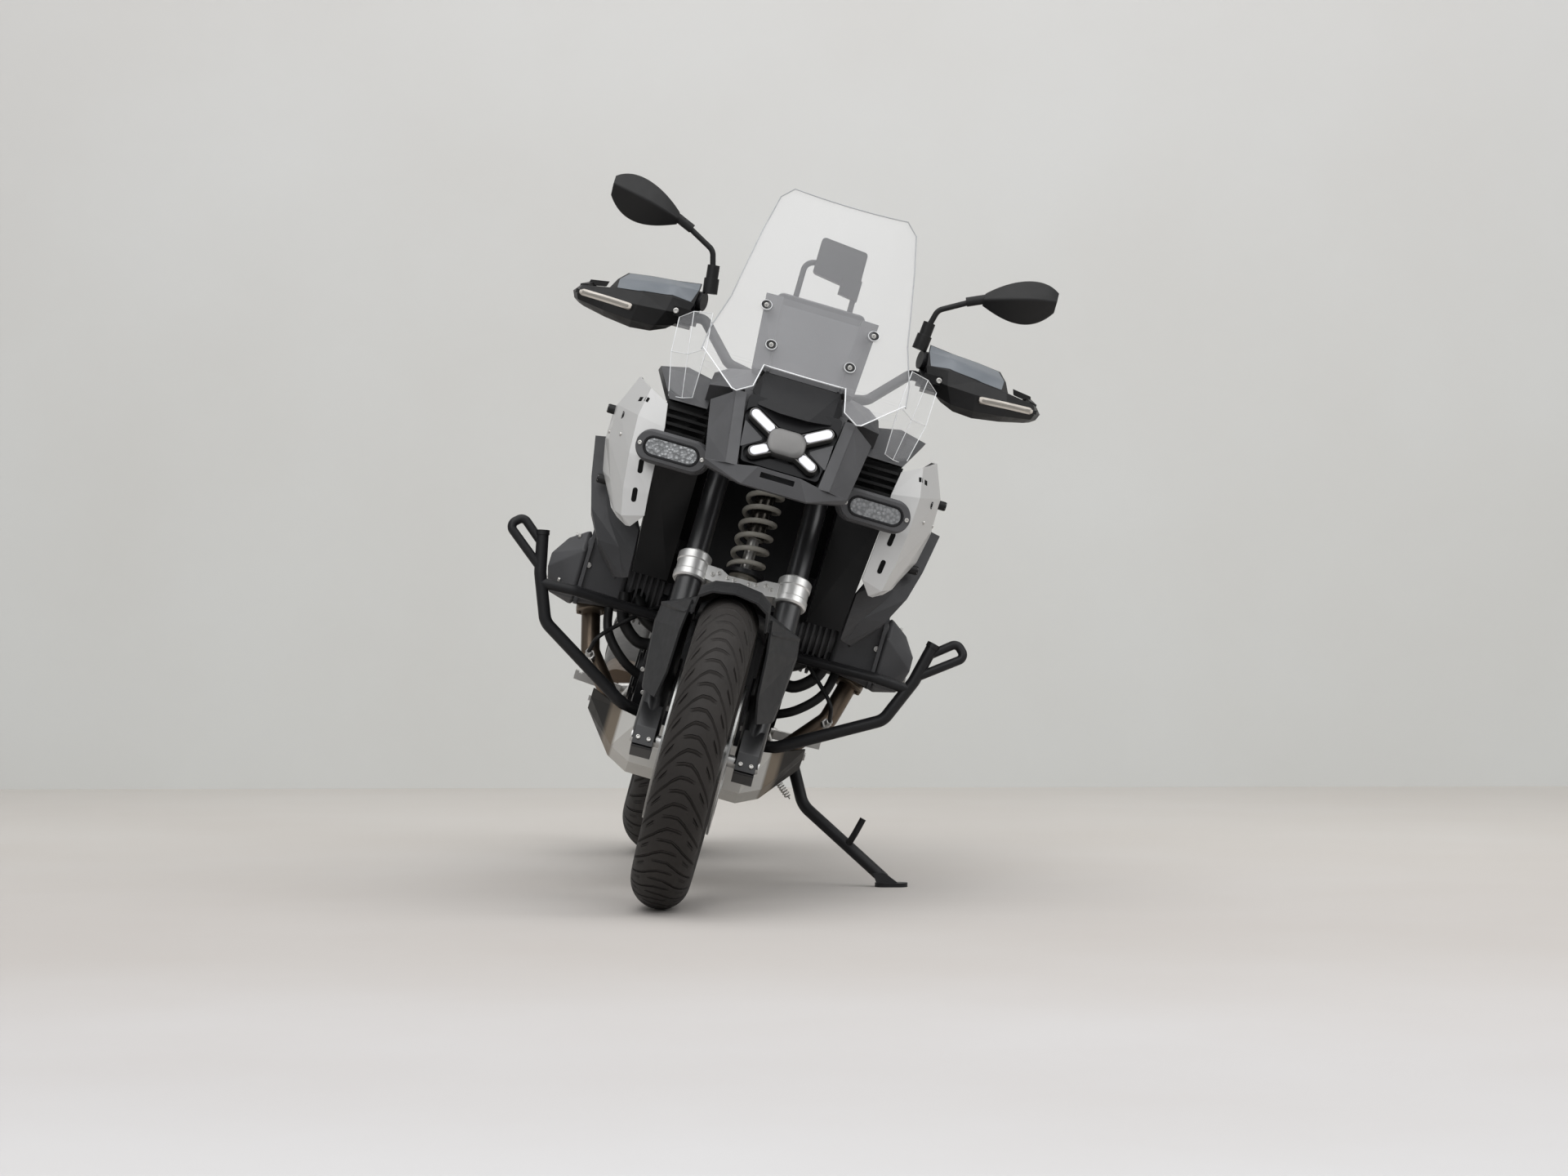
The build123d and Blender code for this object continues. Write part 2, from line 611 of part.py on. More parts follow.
def cylinder(side):
    """Finned barrel, head, faceted head cover and intake stub of one cylinder."""
    barrel = rod((110, 0, 0), (262, 0, 0), 74)
    fins = [rod((150 + 13 * k, 0, 0), (155 + 13 * k, 0, 0), 86) for k in range(6)]
    head = gem([(a, b, c) for a, b, c in (
        (228, -84, -64), (228, 84, -64), (228, -84, 62), (228, 84, 62),
        (330, -92, -78), (330, 92, -78), (330, -92, 70), (330, 92, 70))])
    head = head.fillet(12, head.edges())
    cover = gem([(a, b, c) for a, b, c in (
        (326, -100, -70), (326, 100, -70), (326, -104, 40), (326, 104, 40), (326, -70, 82), (326, 70, 82),
        (326, -60, -86), (326, 60, -86),
        (COVER_X - 14, -70, -70), (COVER_X - 14, 70, -70), (COVER_X, -78, -20), (COVER_X, 78, -20),
        (COVER_X, -66, 10), (COVER_X, 66, 10), (372, -52, 50), (372, 52, 50))])
    cover = cover.fillet(9, cover.edges())
    flange = prism([(-104, -80), (104, -80), (104, 46), (74, 88), (-74, 88), (-104, 46)], "x", 318, 8, 14)
    intake = rod((270, 60, 50), (190, 170, 120), 27)
    body = joined(barrel, *fins, head, flange, cover, intake)
    y = CYL_Y[0 if side > 0 else 1]
    return Pos(0, y, CYL_Z) * (body if side > 0 else mir(body))


def cylinder_left():
    return cylinder(1)


def cylinder_right():
    return cylinder(-1)


def exhaust():
    """Two header pipes under the cylinders, the collector ahead of the rear tyre and the silencer."""
    y0, y1 = CYL_Y
    end = REAR_Y - REAR_TYRE["radius"] - COLLECTOR_GAP
    start = end - COLLECTOR_LENGTH
    left = pipe([(285, y0 - 10, CYL_Z - 84), (262, y0 - 40, 450), (178, y0 - 36, 348), (104, -200, 262),
                 (60, start - 90, 262), (-60, start + 50, 262)], HEADER_R, 38)
    right = pipe([(-285, y1 - 10, CYL_Z - 84), (-262, y1 - 40, 450), (-178, y1 - 50, 348), (-104, -200, 262),
                  (-110, start - 90, 262), (-90, start + 50, 262)], HEADER_R, 38)
    collector = gem([(-150, start, 236), (30, start, 236), (-150, start, 280), (30, start, 280),
                     (-150, end, 250), (-40, end, 250), (-150, end, 320), (-40, end, 320)])
    link = pipe([(-110, end - 30, 286), (-150, end + 70, 330), (-168, end + 150, 356)], 27, 60)
    mouth = Vector(-172, end + 100, 350)
    tail = Vector(-176, end + 500, 470)
    can = loft([Plane(origin=mouth, z_dir=SILENCER_DIR, x_dir=(1, 0, 0)) * RectangleRounded(96, 120, 34),
                Plane(origin=tail, z_dir=SILENCER_DIR, x_dir=(1, 0, 0)) * RectangleRounded(104, 150, 40)])
    tip = Plane(origin=tail - Vector(0, 4, 1), z_dir=SILENCER_DIR, x_dir=(1, 0, 0))
    outlet = tip * (Cylinder(30, 50) - Pos(0, 0, 6) * Cylinder(25, 60))
    return joined(left, right, collector, link, can) + outlet


def skid_plate():
    """Bent plate under the engine: floor, upturned front and two rising wings."""
    rows = []
    for x, drop in ((-230, 104), (-163, 22), (-120, 0), (120, 0), (163, 22), (230, 104)):
        rows.append([(x, -424 if abs(x) < 150 else (-396 if abs(x) < 200 else -330), 348 + drop * 0.3),
                     (x, -396 if abs(x) < 200 else -320, 256 + drop),
                     (x, -340 if abs(x) < 200 else -300, 232 + drop),
                     (x, 20 if abs(x) < 200 else -236, 232 + drop)])
    return skin(rows, 4.0)


def crash_bar(side):
    """Bent bar from the crankcase up beside the cylinder, its brace and the closed loop at its top."""
    r = CRASH_TUBE
    main = pipe([(side * 112, -340, 356), (side * 166, -396, 366), (side * 369, -400, 486),
                 (side * 408, -398, 582), (side * 426, -392, 662)], r, 40)
    cap = rod((side * 425.3, -392.2, 659), (side * 427.6, -391.5, 669), r + 1.5)
    loop = pipe([(side * 406, -399, 588), (side * 499, -392, 660), (side * 474, -384, 684),
                 (side * 420, -392, 640)], LOOP_TUBE, LOOP_TUBE + 4)
    brace = pipe([(side * 400, -400, 562), (side * 330, -402, 566), (side * 110, -352, 560)], LOOP_TUBE + 2, 30)
    return joined(main, cap, loop, brace)


def crash_bar_left():
    return crash_bar(1)


def crash_bar_right():
    return crash_bar(-1)


def main_frame():
    """Steering head, two upper spars, down tubes to the crankcase and the swingarm mounts."""
    head = along_axis(36, HEAD_LOW, TOP_BRIDGE_UP - HEAD_GAP)
    bearing = along_axis(PIN_R + RUNNING, HEAD_LOW, TOP_BRIDGE_UP)
    hy, hz = HEAD_FOOT.Y, HEAD_FOOT.Z
    py, pz = PIVOT_AT
    lug = gem([(x * a, hy + y, hz + z) for a in (1, -1) for x, y, z in (
        (22, -26, -34), (22, 28, -34), (22, -26, 34), (22, 40, 34))])
    web = gem([(x * a, hy + y, hz + z) for a in (1, -1) for x, y, z in (
        (24, 0, 22), (24, -280, 2), (24, 20, 78), (24, -280, 54))])
    plan = [(-150, -280), (150, -280), (150, -220), (60, -180), (-60, -180), (-150, -220)]
    cross = Pos(0, hy, 0) * prism(plan, "z", hz + 9, 40)
    apron = gem([(x * a, y, z) for a in (1, -1) for x, y, z in (
        (140, -352, 640), (140, -346, 640), (140, -322, 880), (140, -316, 880))])
    parts = [lug, web, cross, apron]
    for s in (1, -1):
        parts.append(pipe([(s * 10, hy + 48, hz + 29), (s * 70, hy + 100, hz - 16), (s * 122, hy + 140, hz - 86),
                           (s * 128, -20, 760), (s * 122, py, pz + 108), (s * 122, py, pz - 12)], 19, 50))
        parts.append(pipe([(s * 110, -300, 880), (s * 124, -320, 760), (s * 122, -330, 600)], 14, 50))
        parts.append(pipe([(s * 126, -60, 776), (s * 128, -60, 680), (s * 122, -60, 580)], 13, 30))
    pivot = rod((-140, py, pz), (140, py, pz), PIVOT_R)
    mid = rod((-128, -20, 762), (128, -20, 762), 14)
    return joined(head, *parts, pivot, mid) - bearing


def rear_frame():
    parts = []
    for s in (1, -1):
        parts.append(pipe([(s * 118, -30, 775), (s * 124, 240, 800), (s * 122, 720, 866)], 14, 60))
        parts.append(pipe([(s * 122, 168, 590), (s * 124, 330, 690), (s * 122, 640, 850)], 12, 60))
    ends = [rod((-122, 718, 866), (122, 718, 866), 12), rod((-124, 330, 806), (124, 330, 806), 11)]
    return joined(*parts, *ends)


def swingarm():
    """Single arm on the left that carries the drive shaft, the final drive and the hollow spindle."""
    py, pz = PIVOT_AT
    yoke = rod((-98, py, pz), (98, py, pz), PIVOT_R + 9)
    crown = REAR_TYRE["crown"]
    ends = [Vector(crown + 3, py + 18, pz - 6), Vector(crown + 53, REAR_Y - 67, REAR_Z + 14.5)]
    arm = loft([Plane(origin=end, z_dir=ends[1] - ends[0], x_dir=(1, 0, 0)) * RectangleRounded(52, 84, 20)
                for end in ends])
    case = disc_x(88, 100, 158, REAR_Y, REAR_Z) + disc_x(60, 158, 172, REAR_Y, REAR_Z)
    spindle = disc_x(SPINDLE_R, -64, 150, REAR_Y, REAR_Z)
    collar = disc_x(SPINDLE_R + 12, 84, 102, REAR_Y, REAR_Z)
    cal = gem([(a, REAR_Y + b, REAR_Z + c) for a, b, c in (
        (60, -150, 40), (104, -150, 40), (60, -92, 108), (104, -92, 108),
        (60, -96, 30), (104, -96, 30), (60, -60, 80), (104, -60, 80))])
    cal -= disc_x(REAR_DISC["outer"] + 6, REAR_DISC["x"] - 8, REAR_DISC["x"] + 8, REAR_Y, REAR_Z)
    bore = disc_x(SPINDLE_BORE, -80, 180, REAR_Y, REAR_Z)
    pivot = rod((-150, py, pz), (150, py, pz), PIVOT_R + RUNNING)
    return joined(arm, yoke, case, spindle, collar, cal) - bore - pivot


def rear_strut():
    spring = rod((26, 140, 750), (54, 230, 522), 36)
    damper = rod((20, 120, 800), (60, 250, 470), 12)
    eyes = [rod((-6, 120, 800), (46, 120, 800), 15), rod((36, 250, 470), (84, 250, 470), 15)]
    return joined(spring, damper, *eyes)


def front_arm():
    """Longitudinal control arm from the crankcase to the ball joint under the lower bridge."""
    by, bz = BALL.Y, BALL.Z
    out = [along_axis(19, BRIDGE_UP - 64, BRIDGE_UP - 18.5)]
    for s in (1, -1):
        out.append(pipe([(s * 8, by + 14, bz - 20), (s * 62, by + 62, bz - 26), (s * 112, -330, 560)], 15, 30))
    out.append(rod((-150, -326, 556), (150, -326, 556), 18))
    out.append(rod((-60, by + 62, bz - 26), (60, by + 62, bz - 26), 11))
    return joined(*out)


def front_strut():
    """Spring strut between the control arm and the lug of the steering head."""
    a, b = BALL + Vector(0, 62, -21.6), HEAD_FOOT + Vector(0, -3.5, -41.6)
    base = Plane(a, z_dir=b - a)
    top = (b - a).length - COIL_HEAD
    wire = Plane((COIL_R, 0, 0), z_dir=(0, 1, 0)) * Circle(WIRE_R)
    coil = Pos(0, 0, COIL_FOOT) * sweep(wire, path=Helix(COIL_PITCH, top - COIL_FOOT, COIL_R))
    cups = [Pos(0, 0, z) * Cylinder(42, 8) for z in (COIL_FOOT - 6, top + 6)]
    damper = rod((0, 0, 0), (0, 0, (b - a).length + 20), 12) + rod((0, 0, COIL_FOOT + 76), (0, 0, top), 21)
    return base * (joined(damper, *cups) + coil)


def radiator(side):
    """Radiator in its dark cowl outboard of the fork, with the ribbed grille above it."""
    core = gem([(side * a, b, c) for a, b, c in (
        (150, -500, 640), (224, -524, 640), (150, -520, 896), (244, -568, 896),
        (150, -420, 640), (226, -420, 640), (150, -420, 896), (246, -420, 896))])
    box = gem([(side * a, b, c) for a, b, c in (
        (152, -520, 890), (248, -536, 890), (166, -536, 1000), (254, -530, 1000),
        (152, -440, 890), (248, -440, 890), (160, -440, 1000), (254, -440, 1000))])
    fins = [prism([(side * 160, -562), (side * 246, -566), (side * 246, -520), (side * 160, -520)], "z",
                  918 + 16 * k, 6) for k in range(5)]
    arm = gem([(side * a, b, c) for a, b, c in (
        (146, -440, 700), (160, -440, 700), (120, -330, 700), (136, -326, 700),
        (146, -440, 730), (160, -440, 730), (120, -330, 730), (136, -326, 730))])
    return joined(core, box, *fins, arm)


def radiator_left():
    return radiator(1)


def radiator_right():
    return radiator(-1)


def fuel_tank():
    """Tank shell: wide at the knees' front, falling to the saddle, tunnelled over the spars."""
    shell = hull((
        (-400, ((96, 1070), (146, 1058), (152, 1000), (148, 932))),
        (-300, ((96, 1076), (214, 1040), (244, 980), (240, 924))),
        (-170, ((84, 1060), (206, 1010), (236, 950), (230, 898))),
        (30, ((52, 950), (112, 924), (130, 890), (118, 852))),
    ), 16)
    cap = rod((0, -230, 1060), (0, -222, 1080), 38)
    tunnel = prism([(-60, 800), (60, 800), (60, 872), (36, 900), (-36, 900), (-60, 872)], "y", -420, 340)
    return joined(shell, cap) - tunnel - steering_room()


def tank_panel(side):
    """Pale side panel: narrow upright front face, rolled corner and long flank."""
    rows = [
        [(250, -556, 990), (290, -540, 1012), (318, -480, 1030), (316, -380, 1034), (300, -240, 1012),
         (262, -110, 962)],
        [(242, -572, 940), (300, -560, 950), (346, -470, 962), (352, -380, 958), (330, -240, 944),
         (280, -110, 918)],
        [(241, -584, 866), (296, -576, 872), (344, -470, 890), (352, -390, 890), (336, -260, 890),
         (290, -120, 884)],
        [(236, -592, 800), (288, -582, 800), (318, -500, 812), (338, -420, 824), (322, -320, 836),
         (296, -240, 850)],
        [(232, -594, 757), (276, -586, 745), (292, -540, 752), (308, -480, 772), (308, -400, 794),
         (296, -320, 820)],
        [(254, -582, 729), (262, -578, 729), (282, -548, 740), (300, -500, 756), (302, -430, 776),
         (292, -350, 800)],
    ]
    body = skin([[(side * x, y, z) for x, y, z in row] for row in rows], -4.0 * side)
    lugs = [gem([(side * (x + a), y + b, z + c) for a in (-6, 16) for b in (-8, 8) for c in (-5, 5)])
            for x, y, z in ((352, -412, 952), (318, -500, 944), (332, -430, 806))]
    return joined(body, *lugs)


def tank_panel_left():
    return tank_panel(1)


def tank_panel_right():
    return tank_panel(-1)


def side_shield(side):
    """Dark deflector behind the side panel, standing proud of it and running down to a point."""
    rows = [
        [(300, -372, 896), (338, -356, 896), (374, -350, 890), (366, -300, 886)],
        [(270, -430, 800), (330, -400, 800), (358, -392, 806), (352, -330, 800)],
        [(232, -500, 724), (300, -440, 730), (340, -420, 744), (336, -350, 730)],
        [(228, -510, 672), (262, -474, 680), (308, -446, 684), (300, -380, 664)],
        [(226, -500, 626), (236, -480, 622), (252, -462, 620), (252, -420, 616)],
    ]
    return skin([[(side * x, y, z) for x, y, z in row] for row in rows], -5.0 * side)


def side_shield_left():
    return side_shield(1)


def side_shield_right():
    return side_shield(-1)


def beak():
    """Faceted nose: two rails either side of the lamp, swept cheeks, and a chin with its slot."""
    parts = []
    for s in (1, -1):
        parts.append(gem([(s * a, b, c) for a, b, c in (
            (104, -738, 1052), (126, -728, 1052), (84, -846, 903), (108, -836, 903),
            (104, -700, 1052), (132, -690, 1052), (80, -800, 897), (112, -790, 897))]))
        parts.append(gem([(s * a, b, c) for a, b, c in (
            (122, -728, 1052), (170, -690, 1020), (158, -756, 950), (148, -796, 896), (104, -838, 903),
            (122, -700, 1052), (166, -670, 1020), (150, -720, 950), (140, -760, 896), (104, -800, 903))]))
        parts.append(gem([(s * a, b, c) for a, b, c in (
            (68, -872, 870), (60, -868, 892), (84, -846, 905), (150, -798, 900), (146, -796, 888),
            (68, -830, 868), (84, -800, 905), (146, -760, 896), (140, -760, 884))]))
    chin = gem([(x * s, y, z) for s in (1, -1) for x, y, z in (
        (68, -872, 870), (44, -874, 912), (90, -842, 904), (68, -832, 868), (44, -836, 912), (90, -800, 904))])
    slot = Pos(0, -870, 898) * Box(70, 60, 11)
    back = gem([(x * s, y, z) for s in (1, -1) for x, y, z in (
        (108, -700, 1060), (100, -790, 912), (108, -688, 1060), (100, -770, 905))])
    return joined(parts[0], *parts[1:], chin - slot, back)


def headlight():
    """Lamp in its black surround: a hub with four lit arms, and the smoked cover over it."""
    lamp = Plane(origin=(0, -800, 968), x_dir=(1, 0, 0), z_dir=(0, -0.906, 0.423))
    face = outline([(-98, 92), (98, 92), (94, 40), (80, -58), (-80, -58), (-94, 40)], 8)
    plate = lamp * extrude(face, amount=-30)
    arms, room = [], []
    for angle, reach in LAMP_ARMS:
        for turn in (angle, 180 - angle):
            arm = lamp * Rot(0, 0, turn) * Pos(reach / 2, 0, -20)
            arms.append(arm * extrude(SlotOverall(reach, ARM_WIDTH), amount=32))
            room.append(arm * extrude(SlotOverall(reach + 16, ARM_WIDTH + 16), amount=40))
    hub = lamp * Pos(0, 0, -20) * extrude(RectangleRounded(78, 58, 22), amount=34)
    pit = lamp * Pos(0, 0, -14) * extrude(RectangleRounded(94, 74, 26), amount=40)
    cover = gem([(x * s, y, c) for s in (1, -1) for x, y, c in (
        (80, -706, 1103), (94, -728, 1062), (76, -772, 1034), (30, -792, 1028),
        (78, -690, 1098), (92, -700, 1062), (76, -742, 1030), (30, -760, 1026))])
    pocket = joined(pit, *room)
    return joined(plate - pocket.moved(Location(lamp.z_dir * 8)), hub, *arms, cover)


def aux_light(side):
    """Oblong fog lamp with its clear lens and bracket."""
    c = Plane(origin=(side * 216, -652, 897), x_dir=(1, side * 0.18, 0), z_dir=(side * 0.177, -0.984, 0))
    body = extrude(SlotOverall(156, 70), amount=-34)
    body = c * body.fillet(9, body.faces().sort_by(Axis.Z)[-1].edges())
    bezel = c * extrude(SlotOverall(150, 58) - SlotOverall(112, 36), amount=6)
    lens = c * extrude(SlotOverall(112, 36), amount=3)
    stay = gem([(side * a, b, z) for a, b, z in (
        (196, -640, 884), (236, -640, 884), (196, -640, 910), (236, -640, 910),
        (206, -520, 884), (236, -520, 884), (206, -520, 906), (236, -520, 906))])
    return joined(body, bezel, lens, stay)


def aux_light_left():
    return aux_light(1)


def aux_light_right():
    return aux_light(-1)


def screen_y(z):
    """The screen's rake: its middle line by height."""
    return -768 + (z - 1050) * 0.56


def windscreen():
    """Bowed clear screen, notched at the foot over the lamp cover."""
    rows = []
    for z, half, crown in ((1494, 122, 1488), (1470, 146, 1468), (1390, 163, 1390), (1300, 178, 1300),
                           (1237, 188, 1237), (1160, 212, 1160), (1114, 216, 1114)):
        y = screen_y(z)
        rows.append([(s * half * f, y + 52 * (f * half / 200) ** 2, z + (crown - z) * (1 - f * f))
                     for s, f in ((-1, 1.0), (-1, 0.72), (-1, 0.4), (1, 0.0), (1, 0.4), (1, 0.72), (1, 1.0))])
    body = skin(rows, 4.0)
    feet = []
    for s in (1, -1):
        y = screen_y(1114)
        feet.append(skin([[(s * 86, y + 10, 1118), (s * 150, y + 30, 1118), (s * 214, y + 60, 1118)],
                          [(s * 96, screen_y(1068) + 12, 1068), (s * 126, screen_y(1050) + 22, 1050),
                           (s * 136, screen_y(1050) + 26, 1052)]], 4.0 * s))
    return joined(body, *feet)


def wind_deflector(side):
    """Clear folded blade beside the screen, upper and lower pane."""
    rows = [
        [(214, -560, 1196), (252, -526, 1190), (278, -490, 1172)],
        [(206, -600, 1120), (240, -572, 1100), (274, -530, 1098)],
        [(206, -590, 1016), (226, -570, 1010), (254, -548, 1008)],
    ]
    blade = skin([[(side * x, y, z) for x, y, z in row] for row in rows], 3.0 * side)
    tab = gem([(side * a, b, c) for a, b, c in (
        (140, -586, 1076), (214, -592, 1086), (140, -586, 1090), (214, -592, 1100),
        (140, -570, 1076), (214, -570, 1086), (140, -570, 1090), (214, -570, 1100))])
    return joined(blade, tab)


def wind_deflector_left():
    return wind_deflector(1)


def wind_deflector_right():
    return wind_deflector(-1)


def cockpit():
    """Screen carrier, upper fairing, instrument and the dark shoulders over the radiators."""
    front = gem([(x * s, y, z) for s in (1, -1) for x, y, z in (
        (82, -700, 1104), (84, -614, 1250), (82, -640, 1098), (84, -570, 1244))])
    parts = []
    for s in (1, -1):
        parts.append(gem([(s * a, b, c) for a, b, c in (
            (72, -704, 1106), (108, -676, 1106), (84, -606, 1266), (120, -590, 1266),
            (72, -660, 1096), (104, -640, 1096), (84, -550, 1266), (116, -544, 1266))]))
        for x, z in ((83, 1160), (114, 1238)):
            y = screen_y(z) + 52 * (x / 200) ** 2 + 5
            parts.append(rod((s * x, y, z), (s * (x - 6), y + 44, z), 11))
        parts.append(gem([(s * a, b, c) for a, b, c in (
            (90, -690, 1062), (180, -640, 1050), (150, -570, 1096), (90, -640, 1106),
            (60, -560, 1010), (180, -560, 1010), (176, -548, 1080), (90, -548, 1096))]))
        parts.append(gem([(s * a, b, c) for a, b, c in (
            (170, -600, 1002), (250, -560, 1002), (286, -500, 1064), (230, -480, 1078), (170, -540, 1064),
            (172, -400, 1002), (256, -380, 1002), (290, -360, 1060), (240, -360, 1078), (180, -400, 1066))]))
    panel = gem([(x * s, y, z) for s in (1, -1) for x, y, z in (
        (90, -510, 1190), (90, -500, 1270), (88, -486, 1190), (88, -478, 1262))])
    display = Plane(origin=(0, -490, 1228), x_dir=(1, 0, 0), z_dir=(0, 0.978, 0.208)) * extrude(
        RectangleRounded(190, 104, 14), amount=16)
    shelf = gem([(x * s, y, z) for s in (1, -1) for x, y, z in (
        (96, -640, 1150), (96, -480, 1200), (96, -600, 1110), (96, -494, 1186))])
    keel = gem([(x * s, y, z) for s in (1, -1) for x, y, z in (
        (60, -700, 994), (60, -610, 994), (60, -690, 1110), (60, -600, 1130))])
    return joined(front, *parts, panel, display, shelf, keel)


def device_holder():
    """Tube hoop on the screen carrier with the clamp for a route device."""
    hoop = pipe([(-58, -484, 1262), (-58, -462, 1362), (58, -462, 1362), (58, -484, 1262)], 6, 22)
    box = prism([(-38, 1340), (64, 1326), (62, 1410), (-38, 1418)], "y", -474, 32, 8)
    cleat = gem([(a, b, c) for a, b, c in (
        (24, -484, 1312), (66, -484, 1306), (24, -484, 1350), (66, -484, 1350),
        (24, -456, 1312), (66, -456, 1306), (24, -456, 1350), (66, -456, 1350))])
    return joined(hoop, box, cleat)


def seat_rider():
    """Saddle, narrow at the tank and dished where the rider sits."""
    return hull((
        (-56, ((56, 936), (88, 912), (80, 876))),
        (70, ((110, 892), (152, 872), (146, 846))),
        (200, ((132, 888), (170, 868), (164, 846))),
        (330, ((132, 908), (166, 886), (160, 848))),
    ), 14)


def seat_pillion():
    """Passenger pad, one step up, tapering to the rack."""
    return hull((
        (336, ((116, 952), (152, 928), (150, 892))),
        (480, ((112, 962), (152, 938), (150, 896))),
        (648, ((84, 970), (138, 950), (136, 906))),
    ), 16)


def tail_body():
    """Side covers under the pillion pad, drawn in to the tail lamp."""
    body = hull((
        (334, ((150, 886), (160, 876), (152, 838))),
        (600, ((146, 924), (154, 914), (144, 860))),
        (826, ((92, 944), (108, 936), (98, 898))),
    ), 6)
    lamp = prism([(-72, 898), (72, 898), (64, 930), (-64, 930)], "y", 820, 24, 8)
    return joined(body, lamp)


def luggage_rack():
    sides = [pipe([(s * 162, 420, 935), (s * 160, 620, 966), (s * 108, 905, 974)], 10, 60) for s in (1, -1)]
    plate = prism([(-146, 690), (146, 690), (104, 910), (-104, 910)], "z", RACK_TOP - 8, 8, 16)
    for s in (1, -1):
        plate -= prism([(s * 72, 716), (s * 108, 716), (s * 92, 876), (s * 72, 876)], "z", 960, 30, 7)
    for k in range(4):
        a = math.pi / 4 + k * math.pi / 2
        x, y = RACK_PCD / 2 * math.cos(a), RACK_Y + RACK_PCD / 2 * math.sin(a)
        plate -= rod((x, y, 960), (x, y, 990), RACK_HOLE)
    hole = prism([(-40, 768), (40, 768), (40, 832), (-40, 832)], "z", 960, 30)
    legs = [rod((s * 123, 740, 900), (s * 123, 740, 975), 9) for s in (1, -1)]
    return joined(*sides, plate - hole, *legs)


def rear_mudguard():
    """Long tail bracket with the blank plate, its lamp and the two indicators."""
    spine = gem([(x * s, y, z) for s in (1, -1) for x, y, z in (
        (40, 800, 905), (40, 800, 870), (34, 1142, 740), (34, 1132, 706))])
    spine = spine.fillet(6, spine.edges())
    hanger = Plane(origin=(0, 1118, 770), x_dir=(1, 0, 0), z_dir=(0, -0.932, -0.362))
    plate = hanger * Pos(0, -86, 0) * extrude(RectangleRounded(184, 176, 14), amount=-5)
    lamp = hanger * Pos(0, 8, 0) * extrude(RectangleRounded(70, 22, 6), amount=-22)
    bars = [rod((s * 20, 1000, 800), (s * 150, 1000, 800), 9) for s in (1, -1)]
    lamps = [Plane(origin=(s * 170, 984, 800), z_dir=(0, 1, 0), x_dir=(1, 0, 0))
             * extrude(RectangleRounded(66, 34, 12), amount=30) for s in (1, -1)]
    return joined(spine, plate, lamp, *bars, *lamps)


def footrest(side):
    plate = prism([(-40, 380), (20, 360), (110, 370), (150, 440), (110, 470), (60, 430), (-20, 440)], "x",
                  side * 150 - 6, 12, 9)
    plate -= rod((side * 130, 100, 436), (side * 170, 100, 436), 13)
    plate -= rod((side * 130, 0, 408), (side * 170, 0, 408), 10)
    peg = gem([(side * a, b, c) for a, b, c in (
        (176, 60, 366), (282, 56, 372), (176, 108, 366), (282, 108, 372),
        (176, 60, 386), (282, 56, 392), (176, 108, 386), (282, 108, 392))])
    for k in range(6):
        peg -= Pos(side * (190 + 16 * k), 84, 392) * Box(8, 60, 8)
    stalk = rod((side * 130, 84, 392), (side * 180, 84, 378), 12)
    if side > 0:
        ctrl = pipe([(152, 60, 392), (176, -40, 352), (226, -66, 352)], 6, 12)
        tip = rod((206, -66, 352), (250, -66, 353), 9)
    else:
        ctrl = pipe([(-152, 60, 392), (-176, -60, 350), (-200, -96, 346)], 7, 12)
        tip = gem([(a, b, c) for a in (-238, -186) for b in (-112, -80) for c in (342, 352)])
    return joined(plate, peg, stalk, ctrl, tip)


def footrest_left():
    return footrest(1)


def footrest_right():
    return footrest(-1)


def sole_point():
    """Middle of the stand's sole on the leaned floor, in the upright machine."""
    x, y = STAND_FOOT
    return (x, y, x * math.tan(lean))


def side_stand():
    """Knuckle, cranked leg, foot plate flat on the floor, and the toe spur."""
    foot = Vector(*sole_point())
    up = FLOOR.z_dir
    ankle = foot + up * 12 + Vector(-16, 4, 0)
    leg = pipe([STAND_PIVOT, STAND_KNEE, tuple(ankle)], STAND_TUBE, 60)
    eye = rod(stand_line(-EYE / 2), stand_line(EYE / 2), EYE_R)
    bore = rod(stand_line(-EYE), stand_line(EYE), STAND_PIN + RUNNING)
    sole = Plane(foot, x_dir=FLOOR.x_dir, z_dir=up) * extrude(SlotOverall(70, 40), amount=9)
    mid = Vector(*STAND_KNEE) * 0.45 + ankle * 0.55
    spur = pipe([tuple(mid), tuple(mid + Vector(6, -34, 30)), tuple(mid + Vector(14, -36, 66))], 7, 14)
    block = gem([tuple(foot + up * h + FLOOR.x_dir * a + Vector(0, b, 0)) for h, a, b in (
        (4, -30, -14), (4, 20, -14), (4, -30, 14), (4, 20, 14), (30, -40, -10), (30, -14, -10),
        (30, -40, 10), (30, -14, 10))])
    return joined(leg, eye, sole, spur, block) - bore


